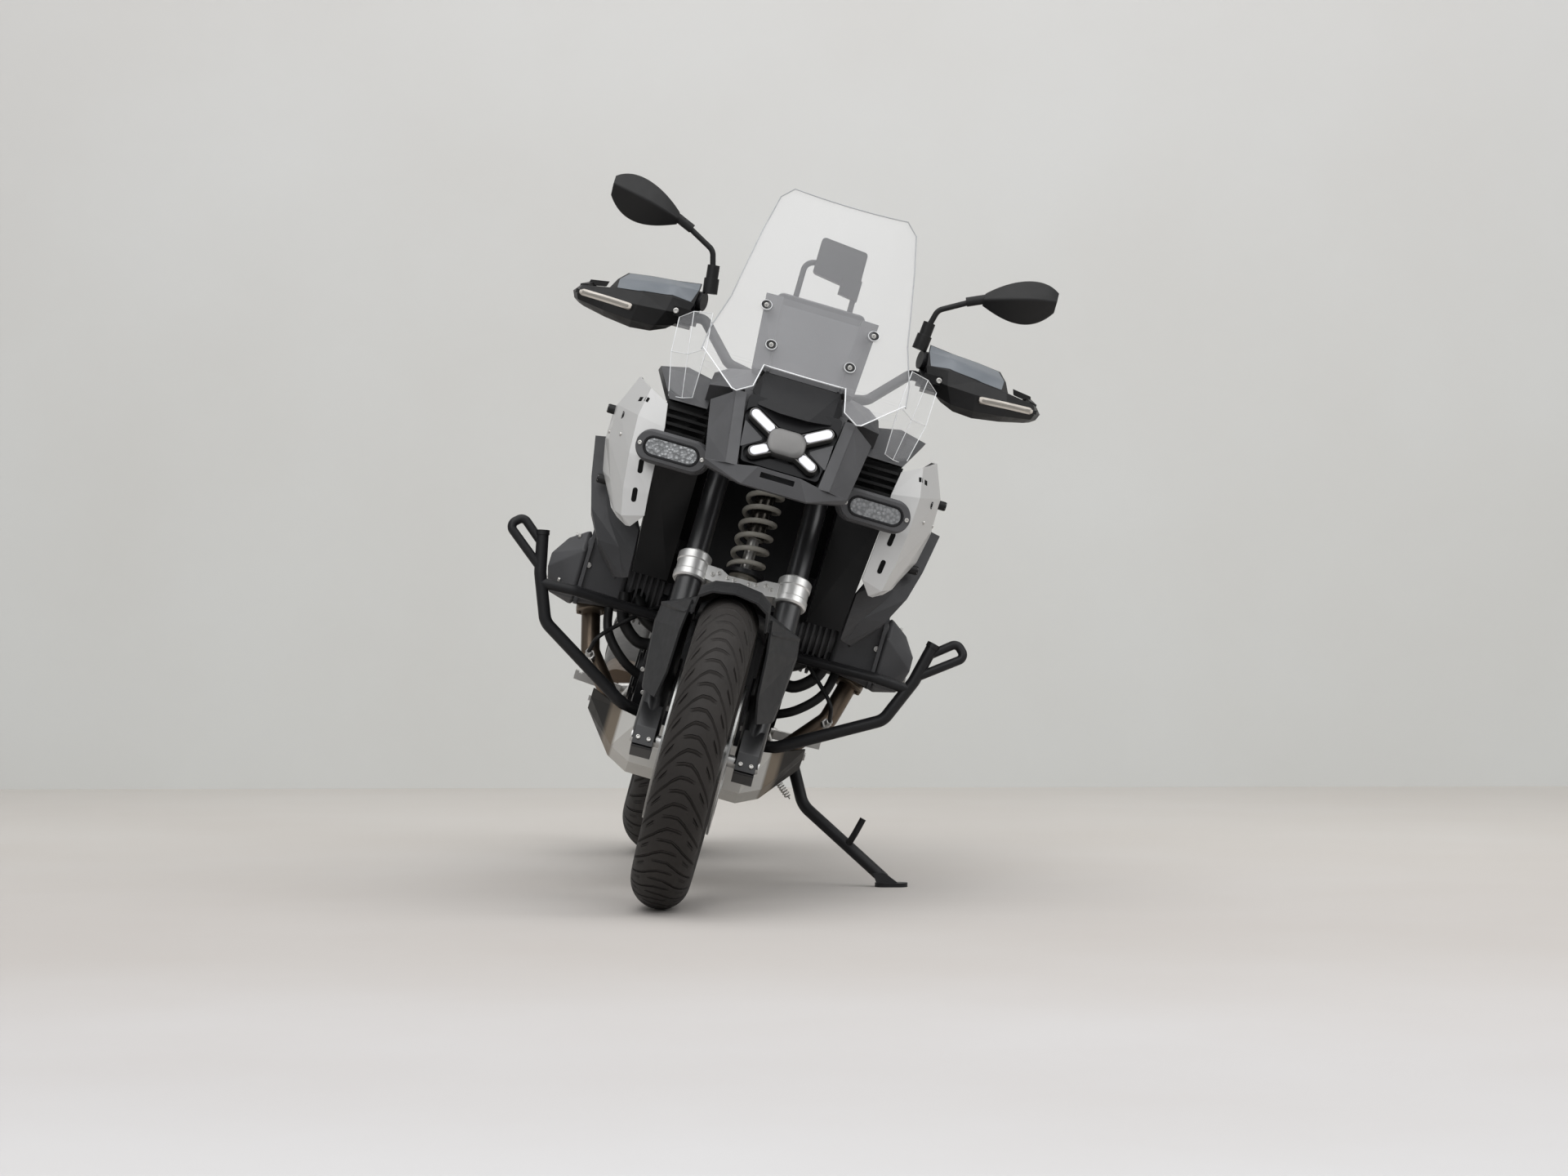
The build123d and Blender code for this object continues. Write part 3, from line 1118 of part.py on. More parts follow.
# ---- the assembly: node, builder, body
NODES = (
    ("main_frame", main_frame, "frame"),
    ("rear_frame", rear_frame, "frame"),
    ("engine_block", engine_block, "frame"),
    ("cylinder_left", cylinder_left, "frame"),
    ("cylinder_right", cylinder_right, "frame"),
    ("exhaust", exhaust, "frame"),
    ("skid_plate", skid_plate, "frame"),
    ("crash_bar_left", crash_bar_left, "frame"),
    ("crash_bar_right", crash_bar_right, "frame"),
    ("fuel_tank", fuel_tank, "frame"),
    ("tank_panel_left", tank_panel_left, "frame"),
    ("tank_panel_right", tank_panel_right, "frame"),
    ("side_shield_left", side_shield_left, "frame"),
    ("side_shield_right", side_shield_right, "frame"),
    ("radiator_left", radiator_left, "frame"),
    ("radiator_right", radiator_right, "frame"),
    ("beak", beak, "frame"),
    ("headlight", headlight, "frame"),
    ("aux_light_left", aux_light_left, "frame"),
    ("aux_light_right", aux_light_right, "frame"),
    ("windscreen", windscreen, "frame"),
    ("wind_deflector_left", wind_deflector_left, "frame"),
    ("wind_deflector_right", wind_deflector_right, "frame"),
    ("cockpit", cockpit, "frame"),
    ("device_holder", device_holder, "frame"),
    ("seat_rider", seat_rider, "frame"),
    ("seat_pillion", seat_pillion, "frame"),
    ("tail_body", tail_body, "frame"),
    ("luggage_rack", luggage_rack, "frame"),
    ("rear_mudguard", rear_mudguard, "frame"),
    ("footrest_left", footrest_left, "frame"),
    ("footrest_right", footrest_right, "frame"),
    ("front_arm", front_arm, "frame"),
    ("front_strut", front_strut, "frame"),
    ("swingarm", swingarm, "frame"),
    ("rear_strut", rear_strut, "frame"),
    ("fork_leg_left", fork_leg_left, "steering"),
    ("fork_leg_right", fork_leg_right, "steering"),
    ("fork_bridge", fork_bridge, "steering"),
    ("upper_bridge", upper_bridge, "steering"),
    ("handlebar", handlebar, "steering"),
    ("handguard_left", handguard_left, "steering"),
    ("handguard_right", handguard_right, "steering"),
    ("mirror_left", mirror_left, "steering"),
    ("mirror_right", mirror_right, "steering"),
    ("front_fender", front_fender, "steering"),
    ("front_axle", front_axle, "steering"),
    ("front_tyre", front_tyre, "front_wheel"),
    ("front_rim", front_rim, "front_wheel"),
    ("front_disc_left", front_disc_left, "front_wheel"),
    ("front_disc_right", front_disc_right, "front_wheel"),
    ("rear_tyre", rear_tyre, "rear_wheel"),
    ("rear_rim", rear_rim, "rear_wheel"),
    ("rear_disc", rear_disc, "rear_wheel"),
    ("side_stand", side_stand, "side_stand"),
)


# Where fixed pieces meet, the first is let in around the others.
SEATS = (
    ("engine_block", ("main_frame", "swingarm")),
    ("cylinder_left", ("engine_block", "main_frame")),
    ("cylinder_right", ("engine_block", "main_frame")),
    ("exhaust", ("engine_block", "cylinder_left", "cylinder_right")),
    ("front_arm", ("engine_block", "main_frame")),
    ("crash_bar_left", ("engine_block", "front_arm", "skid_plate")),
    ("crash_bar_right", ("engine_block", "front_arm", "skid_plate")),
    ("skid_plate", ("engine_block",)),
    ("rear_frame", ("main_frame",)),
    ("rear_strut", ("swingarm", "main_frame", "rear_frame")),
    ("front_strut", ("front_arm", "main_frame")),
    ("footrest_left", ("engine_block",)),
    ("footrest_right", ("engine_block",)),
    ("fuel_tank", ("main_frame", "seat_rider", "cockpit")),
    ("seat_rider", ("main_frame", "rear_frame")),
    ("tail_body", ("rear_frame", "seat_pillion")),
    ("luggage_rack", ("tail_body", "seat_pillion")),
    ("rear_mudguard", ("tail_body",)),
    ("beak", ("main_frame", "headlight", "windscreen")),
    ("headlight", ("main_frame",)),
    ("cockpit", ("main_frame", "headlight", "beak")),
    ("windscreen", ("cockpit",)),
    ("wind_deflector_left", ("cockpit",)),
    ("wind_deflector_right", ("cockpit",)),
    ("device_holder", ("cockpit",)),
    ("radiator_left", ("cockpit", "main_frame", "tank_panel_left", "fuel_tank", "beak")),
    ("radiator_right", ("cockpit", "main_frame", "tank_panel_right", "fuel_tank", "beak")),
    ("side_shield_left", ("tank_panel_left", "radiator_left")),
    ("side_shield_right", ("tank_panel_right", "radiator_right")),
    ("aux_light_left", ("radiator_left", "tank_panel_left", "beak")),
    ("aux_light_right", ("radiator_right", "tank_panel_right", "beak")),
    ("front_fender", ("fork_leg_left", "fork_leg_right", "fork_bridge")),
    ("handguard_left", ("handlebar",)),
    ("handguard_right", ("handlebar",)),
    ("mirror_left", ("handlebar",)),
    ("mirror_right", ("handlebar",)),
)


def assemble():
    """Every piece of the upright machine, seated on its neighbours."""
    pieces = {node: builder() for node, builder, _ in NODES}
    for node, others in SEATS:
        for other in others:
            pieces[node] = pieces[node] - pieces[other]
        pieces[node] = max(pieces[node].solids(), key=lambda solid: solid.volume)
    return pieces


def place(shape, body):
    """Turns the steered parts, leans the machine and sets it on the row's origin."""
    if body in ("steering", "front_wheel"):
        shape = shape.rotate(STEER_AXIS, STEER)
    shape = shape.moved(Location((0, 0, 0), (0, LEAN, 0)))
    return shape.moved(Location((-ORIGIN[0], -ORIGIN[1], 0)))


def main():
    os.makedirs("parts", exist_ok=True)
    pieces = assemble()
    for node, _, body in NODES:
        export_step(place(pieces[node], body), f"parts/{node}.step")


if __name__ == "__main__":
    main()
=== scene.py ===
import math

import bmesh
import bpy
from mathutils import Matrix, Vector
from mathutils.bvhtree import BVHTree


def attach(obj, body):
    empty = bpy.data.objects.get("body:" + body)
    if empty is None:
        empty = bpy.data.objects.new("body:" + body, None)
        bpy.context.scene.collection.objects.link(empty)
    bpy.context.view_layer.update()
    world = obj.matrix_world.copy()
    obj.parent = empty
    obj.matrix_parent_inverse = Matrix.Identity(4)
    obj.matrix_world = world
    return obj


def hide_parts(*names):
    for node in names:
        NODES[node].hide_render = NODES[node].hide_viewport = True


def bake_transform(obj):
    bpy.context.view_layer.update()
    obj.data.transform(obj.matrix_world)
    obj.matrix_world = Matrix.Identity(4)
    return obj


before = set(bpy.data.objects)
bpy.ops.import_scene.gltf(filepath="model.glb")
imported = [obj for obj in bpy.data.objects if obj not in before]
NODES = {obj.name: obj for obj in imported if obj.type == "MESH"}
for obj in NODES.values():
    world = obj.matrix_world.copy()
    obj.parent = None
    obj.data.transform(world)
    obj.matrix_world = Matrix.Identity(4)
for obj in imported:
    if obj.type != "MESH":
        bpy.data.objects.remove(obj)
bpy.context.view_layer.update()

# Looks of the leaning adventure motorcycle. Places are millimetres of the upright machine
# (x the rider's left, y rearward, z up), carried into the row frame's metres by placing().
MM = 0.001

# ---- the machine's stance, as in the part
WHEELBASE, RAKE, TRAIL = 1534.0, 26.2, 118.8
LEAN, STEER = 16.3, -3.0
ORIGIN = (280.0, 48.0)
FRONT_AXLE = Vector((0.0, -766.417, 328.997))
REAR_AXLE = Vector((0.0, 767.0, 321.46))
FRONT_TYRE = dict(radius=325.3, crown=60.0, seat=241.3, half=44.0)
REAR_TYRE = dict(radius=317.9, crown=85.0, seat=215.9, half=64.0)
CLAMP = Vector((0.0, -385.841, 1102.43))          # middle of the handlebar
STRUT = (Vector((0, -511.036, 614.021)), Vector((0, -423.997, 904.021)))     # lower and upper eye
STEERED = ("steering", "front_wheel")

UP = Vector((0, math.sin(math.radians(RAKE)), math.cos(math.radians(RAKE))))
FOOT = Vector((0, -WHEELBASE / 2 - TRAIL, 0))
TURN = Matrix.Translation(FOOT) @ Matrix.Rotation(math.radians(STEER), 4, UP) @ Matrix.Translation(-FOOT)
ROLL = Matrix.Rotation(math.radians(LEAN), 4, "Y")
SHIFT = Matrix.Translation((-ORIGIN[0], -ORIGIN[1], 0))
SCALE = Matrix.Scale(MM, 4)
SAME = Matrix.Identity(4)
MIRROR = Matrix.Scale(-1, 4, (1, 0, 0))
SIDES = (("left", SAME), ("right", MIRROR))       # the left side as it is, the right side mirrored
BARS = Matrix.Translation(CLAMP)


def placing(body):
    """Carries the upright machine's millimetres into the row frame for a piece of this body."""
    turn = TURN if body in STEERED else SAME
    return SCALE @ SHIFT @ ROLL @ turn


def local(origin, x, z):
    """Matrix of a frame standing at origin, with its z along z and its x as near x as that allows."""
    z = Vector(z).normalized()
    y = z.cross(Vector(x)).normalized()
    return Matrix.Translation(origin) @ Matrix((y.cross(z), y, z)).transposed().to_4x4()


FORK = local(FRONT_AXLE, (1, 0, 0), UP)           # y rearward, z up the legs


# ---- pieces
def new_object(name, data):
    """A new object with this data, in the scene."""
    obj = bpy.data.objects.new(name, data)
    bpy.context.scene.collection.objects.link(obj)
    return obj


def finish_piece(obj, body, mat, smooth=35.0):
    """Gives a piece its material, shading and body; without a body it is left to be blended."""
    obj.data.materials.clear()
    obj.data.materials.append(mat)
    if obj.type == "MESH" and smooth is not None:
        obj.data.shade_smooth()
        obj.data.set_sharp_from_angle(angle=math.radians(smooth))
    if body:
        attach(obj, body)
    return obj


def piece(name, verts, faces, body, slot, look, smooth=35.0, matrix=None):
    """A mesh from upright-machine millimetres, or from a local frame given by matrix."""
    mesh = bpy.data.meshes.new(name)
    mesh.from_pydata([tuple(v) for v in verts], [], faces)
    mesh.transform(placing(body) @ (matrix or SAME))
    mesh.validate()
    mesh.update()
    return finish_piece(new_object(name, mesh), body, MATERIALS[look], smooth)


def merged(parts):
    """One vertex list and one face list from several (verts, faces, matrix)."""
    verts, faces = [], []
    for some, quads, matrix in parts:
        start = len(verts)
        verts.extend(matrix @ Vector(p) for p in some)
        flip = matrix.determinant() < 0
        faces.extend(tuple(start + i for i in (reversed(q) if flip else q)) for q in quads)
    return verts, faces


def both(name, parts, body, slot, look, smooth=35.0):
    """The left side's parts and their mirror image as one piece."""
    pairs = [(v, f, m @ matrix) for v, f, matrix in parts for _, m in SIDES]
    return piece(name, *merged(pairs), body, slot, look, smooth)


# ---- outlines and solids
def stadium(length, width, steps=8):
    """A bar's outline with half-round ends, lying along x."""
    r, half = width / 2, (length - width) / 2
    out = []
    for side, start in ((1, -90), (-1, 90)):
        for k in range(steps + 1):
            a = math.radians(start + 180 * k / steps)
            out.append((side * half + r * math.cos(a), r * math.sin(a)))
    return out


def rounded(width, height, r, steps=5):
    """A rectangle's outline with its corners rounded."""
    out = []
    for sx, sy, start in ((1, -1, -90), (1, 1, 0), (-1, 1, 90), (-1, -1, 180)):
        for k in range(steps + 1):
            a = math.radians(start + 90 * k / steps)
            out.append((sx * (width / 2 - r) + r * math.cos(a), sy * (height / 2 - r) + r * math.sin(a)))
    return out


def shrunk(shape, by):
    """An anticlockwise outline moved inward, corner by corner."""
    out, n = [], len(shape)
    for i in range(n):
        p, q, s = (Vector(shape[(i + k) % n]) for k in (-1, 0, 1))
        a, b = (q - p).normalized(), (s - q).normalized()
        inward = Vector((-(a.y + b.y), a.x + b.x)).normalized()
        out.append(tuple(q + inward * by / max(0.35, inward.dot(Vector((-a.y, a.x))))))
    return out


def ringed(rings):
    """Faces between outlines of equal count given as (outline, z), open at both ends."""
    n = len(rings[0][0])
    verts = [(x, y, z) for ring, z in rings for x, y in ring]
    faces = [(k * n + i, k * n + (i + 1) % n, (k + 1) * n + (i + 1) % n, (k + 1) * n + i)
             for k in range(len(rings) - 1) for i in range(n)]
    return verts, faces


def slab(shape, low, high, bevel=0.6):
    """A flat shape raised from low to high with its upper edge broken."""
    n = len(shape)
    verts, faces = ringed([(shape, low), (shape, high - bevel), (shrunk(shape, bevel), high)])
    return verts, faces + [tuple(range(2 * n, 3 * n)), tuple(range(n - 1, -1, -1))]


def band(outer, inner, low, high, bevel=0.5):
    """A flat ring between two outlines of equal count."""
    return ringed([(outer, low), (outer, high - bevel), (shrunk(outer, bevel), high),
                   (shrunk(inner, -bevel), high), (inner, high - bevel), (inner, low)])


def spun(profile, steps=16):
    """A profile of (radius, height) turned about z, closed over its last ring."""
    verts, faces = ringed([([(r * math.cos(math.tau * k / steps), r * math.sin(math.tau * k / steps))
                             for k in range(steps)], z) for r, z in profile])
    last = (len(profile) - 1) * steps
    return verts, faces + [tuple(last + k for k in range(steps))]


def tube(points, r, sides=8, closed=False):
    """A round wire along the points."""
    points = [Vector(p) for p in points]
    n = len(points)
    verts, faces, normal = [], [], None
    for i, p in enumerate(points):
        before = points[i - 1] if closed or i else p
        after = points[(i + 1) % n] if closed or i < n - 1 else p
        way = (after - before).normalized()
        normal = way.orthogonal() if normal is None else normal - way * normal.dot(way)
        normal.normalize()
        side = way.cross(normal)
        verts.extend(p + r * (math.cos(math.tau * k / sides) * normal + math.sin(math.tau * k / sides) * side)
                     for k in range(sides))
    for i in range(n if closed else n - 1):
        j = (i + 1) % n
        faces.extend((i * sides + k, i * sides + (k + 1) % sides, j * sides + (k + 1) % sides, j * sides + k)
                     for k in range(sides))
    if not closed:
        faces.append(tuple(range(sides - 1, -1, -1)))
        faces.append(tuple((n - 1) * sides + k for k in range(sides)))
    return verts, faces


def curve(points, fine):
    """A smooth run through the points."""
    points = [Vector(p) for p in points]
    ends = [2 * points[0] - points[1]] + points + [2 * points[-1] - points[-2]]
    out = []
    for a, b, c, d in zip(ends, ends[1:], ends[2:], ends[3:]):
        for k in range(fine):
            t = k / fine
            out.append(0.5 * (2 * b + (c - a) * t + (2 * a - 5 * b + 4 * c - d) * t * t
                              + (3 * b - a - 3 * c + d) * t * t * t))
    return out + [points[-1]]


# ---- laying pieces on the CAD surface
TREES = {}


def tree_of(name):
    """The search tree of a CAD node, made once."""
    if name not in TREES:
        shape = bmesh.new()
        shape.from_mesh(NODES[name].data)
        shape.transform(NODES[name].matrix_world)
        TREES[name] = BVHTree.FromBMesh(shape)
        shape.free()
    return TREES[name]


def landed(names, body, start, way):
    """Where a ray from this place of the upright machine first meets one of the nodes, or None."""
    carry = placing(body)
    a = carry @ Vector(start)
    d = (carry.to_3x3() @ Vector(way)).normalized()
    hits = [tree_of(name).ray_cast(a, d, 2.0) for name in names]
    hits = [h for h in hits if h[0] is not None]
    return carry.inverted() @ min(hits, key=lambda h: h[3])[0] if hits else None


def laid(names, body, frame_, length, width, lift, dome=0.0, square=False, nu=30):
    """A bar with round or square ends laid on the surface as seen down the frame's z."""
    out = frame_.to_3x3() @ Vector((0, 0, 1))
    runs = [-1, -1, -0.7, -0.35, 0, 0.35, 0.7, 1, 1]
    verts = []
    for i in range(nu + 1):
        u = -length / 2 * math.cos(math.pi * i / nu)
        past = max(0.0, abs(u) - (length - width) / 2)
        half = width / 2 if square else math.sqrt(max(0.01, (width / 2) ** 2 - past ** 2))
        for k, t in enumerate(runs):
            edge = k in (0, len(runs) - 1) or i in (0, nu)
            start = frame_ @ Vector((u, t * half, 80))
            at = landed(names, body, start, -out) or start - out * 80
            verts.append(at + out * (-1.0 if edge else lift + dome * (1 - t * t)))
    m = len(runs)
    faces = [(i * m + k, (i + 1) * m + k, (i + 1) * m + k + 1, i * m + k + 1)
             for i in range(nu) for k in range(m - 1)]
    if frame_.determinant() < 0:                  # a mirrored frame turns them inside out
        faces = [face[::-1] for face in faces]
    return verts, faces, SAME


def draped(names, body, rows, out, lift, fine=5):
    """A sheet lying on the surface inside a net of points, as seen against out."""
    rows = [[Vector(p) for p in row] for row in rows]
    out = Vector(out).normalized()
    down, along = (len(rows) - 1) * fine, (len(rows[0]) - 1) * fine
    verts = []
    for i in range(down + 1):
        r = min(i // fine, len(rows) - 2)
        f = (i - r * fine) / fine
        for j in range(along + 1):
            c = min(j // fine, len(rows[0]) - 2)
            g = (j - c * fine) / fine
            p = rows[r][c].lerp(rows[r][c + 1], g).lerp(rows[r + 1][c].lerp(rows[r + 1][c + 1], g), f)
            verts.append((landed(names, body, p + out * 60, -out) or p) + out * lift)
    w = along + 1
    faces = [(i * w + j, i * w + j + 1, (i + 1) * w + j + 1, (i + 1) * w + j)
             for i in range(down) for j in range(along)]
    return verts, faces, SAME


def ring_of(r):
    """A circle's outline."""
    return [(math.cos(math.tau * k / 24) * r, math.sin(math.tau * k / 24) * r) for k in range(24)]


# socket head in shares of its radius, as (radius, height)
HEAD = ((1.0, -0.3), (1.0, 0.5), (0.88, 0.66), (0.58, 0.7), (0.52, 0.62), (0.5, 0.3))


def bolts(name, body, slot, look, table):
    """Socket heads on the surface; each row is (nodes, start, way, radius)."""
    parts = []
    for names, start, way, r in table:
        at = landed(names, body, start, way)
        if at is not None:
            verts, faces = spun([(r * a, r * b) for a, b in HEAD], 12)
            parts.append((verts, faces, local(at, (1, 0.001, 0.002), -Vector(way))))
    return piece(name, *merged(parts), body, slot, look)


# ---- materials
def node_tree(name):
    """A new node material with its tree and its Principled shader."""
    mat = bpy.data.materials.new(name)
    mat.use_nodes = True
    return mat, mat.node_tree, mat.node_tree.nodes["Principled BSDF"]


def add(tree, kind, **settings):
    """A new shader node; each setting is a socket of that name, or else a property."""
    node = tree.nodes.new("ShaderNode" + kind)
    for key, value in settings.items():
        if key in node.inputs:
            node.inputs[key].default_value = value
        else:
            setattr(node, key, value)
    return node


def noise(tree, scale, detail=3.0, stretch=None):
    """Fine or coarse noise over the object, 0..1."""
    coords = add(tree, "TexCoord").outputs["Object"]
    if stretch:
        mapping = add(tree, "Mapping", Scale=stretch)
        tree.links.new(coords, mapping.inputs["Vector"])
        coords = mapping.outputs["Vector"]
    tex = add(tree, "TexNoise", Scale=scale, Detail=detail)
    tree.links.new(coords, tex.inputs["Vector"])
    return tex.outputs["Fac"]


def ranged(tree, value, start, end, low=0.0, high=1.0, kind="LINEAR"):
    """Maps start..end of a value on to low..high and holds it there beyond."""
    node = add(tree, "MapRange", interpolation_type=kind,
               **{"From Min": start, "From Max": end, "To Min": low, "To Max": high})
    tree.links.new(value, node.inputs["Value"])
    return node.outputs["Result"]


def spread(tree, value, low, high):
    """Maps the middle of a noise on to low..high."""
    return ranged(tree, value, 0.3, 0.7, low, high)


def blended(tree, factor, low, high):
    """Mixes two colours, or colour sockets, by the factor."""
    mix = add(tree, "Mix", data_type="RGBA")
    tree.links.new(factor, mix.inputs["Factor"])
    for socket, colour in ((6, low), (7, high)):
        if isinstance(colour, tuple):
            mix.inputs[socket].default_value = (*colour, 1.0)
        else:
            tree.links.new(colour, mix.inputs[socket])
    return mix.outputs[2]


def tone(colour, factor):
    """The colour made lighter or darker."""
    return tuple(min(1.0, c * factor) for c in colour)


def surface(name, colour, rough, metal=0.0, vary=0.12, patch=9.0, grain=(900.0, 0.12), edge=1.5,
            bevel=1.2, stretch=None, sway=0.05, shine=0.5, **sockets):
    """Material with patchy colour, varied gloss, a fine grain and slightly worn, rounded edges."""
    mat, tree, shader = node_tree(name)
    link = tree.links.new
    shader.inputs["Metallic"].default_value = metal
    shader.inputs["Specular IOR Level"].default_value = shine
    for key, value in sockets.items():
        shader.inputs[key.replace("_", " ")].default_value = value
    patches = noise(tree, patch)
    base = blended(tree, spread(tree, patches, 0.0, 1.0), tone(colour, 1 - vary), tone(colour, 1 + vary))
    corner = add(tree, "Bevel", samples=4, Radius=bevel * MM)
    if edge:
        flat = add(tree, "NewGeometry")
        dot = add(tree, "VectorMath", operation="DOT_PRODUCT")
        link(corner.outputs["Normal"], dot.inputs[0])
        link(flat.outputs["Normal"], dot.inputs[1])
        worn = ranged(tree, dot.outputs["Value"], 0.995, 0.9)
        base = blended(tree, worn, base, tone(colour, edge))
    link(base, shader.inputs["Base Color"])
    gloss = spread(tree, noise(tree, patch * 6, 5.0, stretch), max(0.02, rough - sway),
                   min(1.0, rough + sway))
    link(gloss, shader.inputs["Roughness"])
    scale, strength = grain
    bump = add(tree, "Bump", Strength=strength, Distance=0.0004)
    link(noise(tree, scale, 2.0, stretch), bump.inputs["Height"])
    link(corner.outputs["Normal"], bump.inputs["Normal"])
    link(bump.outputs["Normal"], shader.inputs["Normal"])
    return mat


def prisms(name, colour):
    """Clear lens over a bright reflector: small facets in the bump, and their sparkle painted into the colour
    as lighter and darker cells.
    """
    mat, tree, shader = node_tree(name)
    link = tree.links.new
    coords = add(tree, "TexCoord").outputs["Object"]
    cells = add(tree, "TexVoronoi", Scale=150.0)
    link(coords, cells.inputs["Vector"])
    # painted sparkle: each cell lighter at its middle and darker at its rim
    base = blended(tree, spread(tree, cells.outputs["Distance"], 0.0, 1.0), tone(colour, 1.3),
                   tone(colour, 0.7))
    link(base, shader.inputs["Base Color"])
    shader.inputs["Metallic"].default_value = 0.4
    link(spread(tree, noise(tree, 60.0), 0.12, 0.3), shader.inputs["Roughness"])
    shader.inputs["Coat Weight"].default_value = 0.8
    bump = add(tree, "Bump", Strength=0.6, Distance=0.0012)
    link(cells.outputs["Distance"], bump.inputs["Height"])
    link(bump.outputs["Normal"], shader.inputs["Normal"])
    return mat


def clear(name, tint, film):
    """Thin clear plastic: a faint pale film over what stands behind it, once for each face of the pane."""
    mat, tree, shader = node_tree(name)
    link = tree.links.new
    shader.inputs["Alpha"].default_value = film
    link(spread(tree, noise(tree, 6.0), 0.16, 0.24), shader.inputs["Roughness"])
    film_colour = blended(tree, noise(tree, 4.0), tone(tint, 0.96), tone(tint, 1.04))
    link(film_colour, shader.inputs["Base Color"])
    return mat


# where each tone of the skid plate's wings starts and is full, metres from the middle, and its colour
WING_TONES = ((0.160, 0.166, (0.20, 0.165, 0.125)), (0.182, 0.192, (0.022, 0.020, 0.018)))


def wings(mat):
    """The skid plate's bright nose turns to bronze and then to near black out along its wings."""
    tree, shader = mat.node_tree, mat.node_tree.nodes["Principled BSDF"]
    link = tree.links.new
    base = shader.inputs["Base Color"].links[0].from_socket
    lean = math.radians(LEAN)
    place = add(tree, "NewGeometry").outputs["Position"]
    across = add(tree, "VectorMath", operation="DOT_PRODUCT")
    across.inputs[1].default_value = (math.cos(lean), 0.0, -math.sin(lean))
    link(place, across.inputs[0])
    centred = add(tree, "Math", operation="ADD")
    centred.inputs[1].default_value = ORIGIN[0] * MM * math.cos(lean)
    link(across.outputs["Value"], centred.inputs[0])
    reach = add(tree, "Math", operation="ABSOLUTE")
    link(centred.outputs[0], reach.inputs[0])
    for near, far, colour in WING_TONES:
        base = blended(tree, ranged(tree, reach.outputs[0], near, far), base, colour)
    link(base, shader.inputs["Base Color"])
    return mat


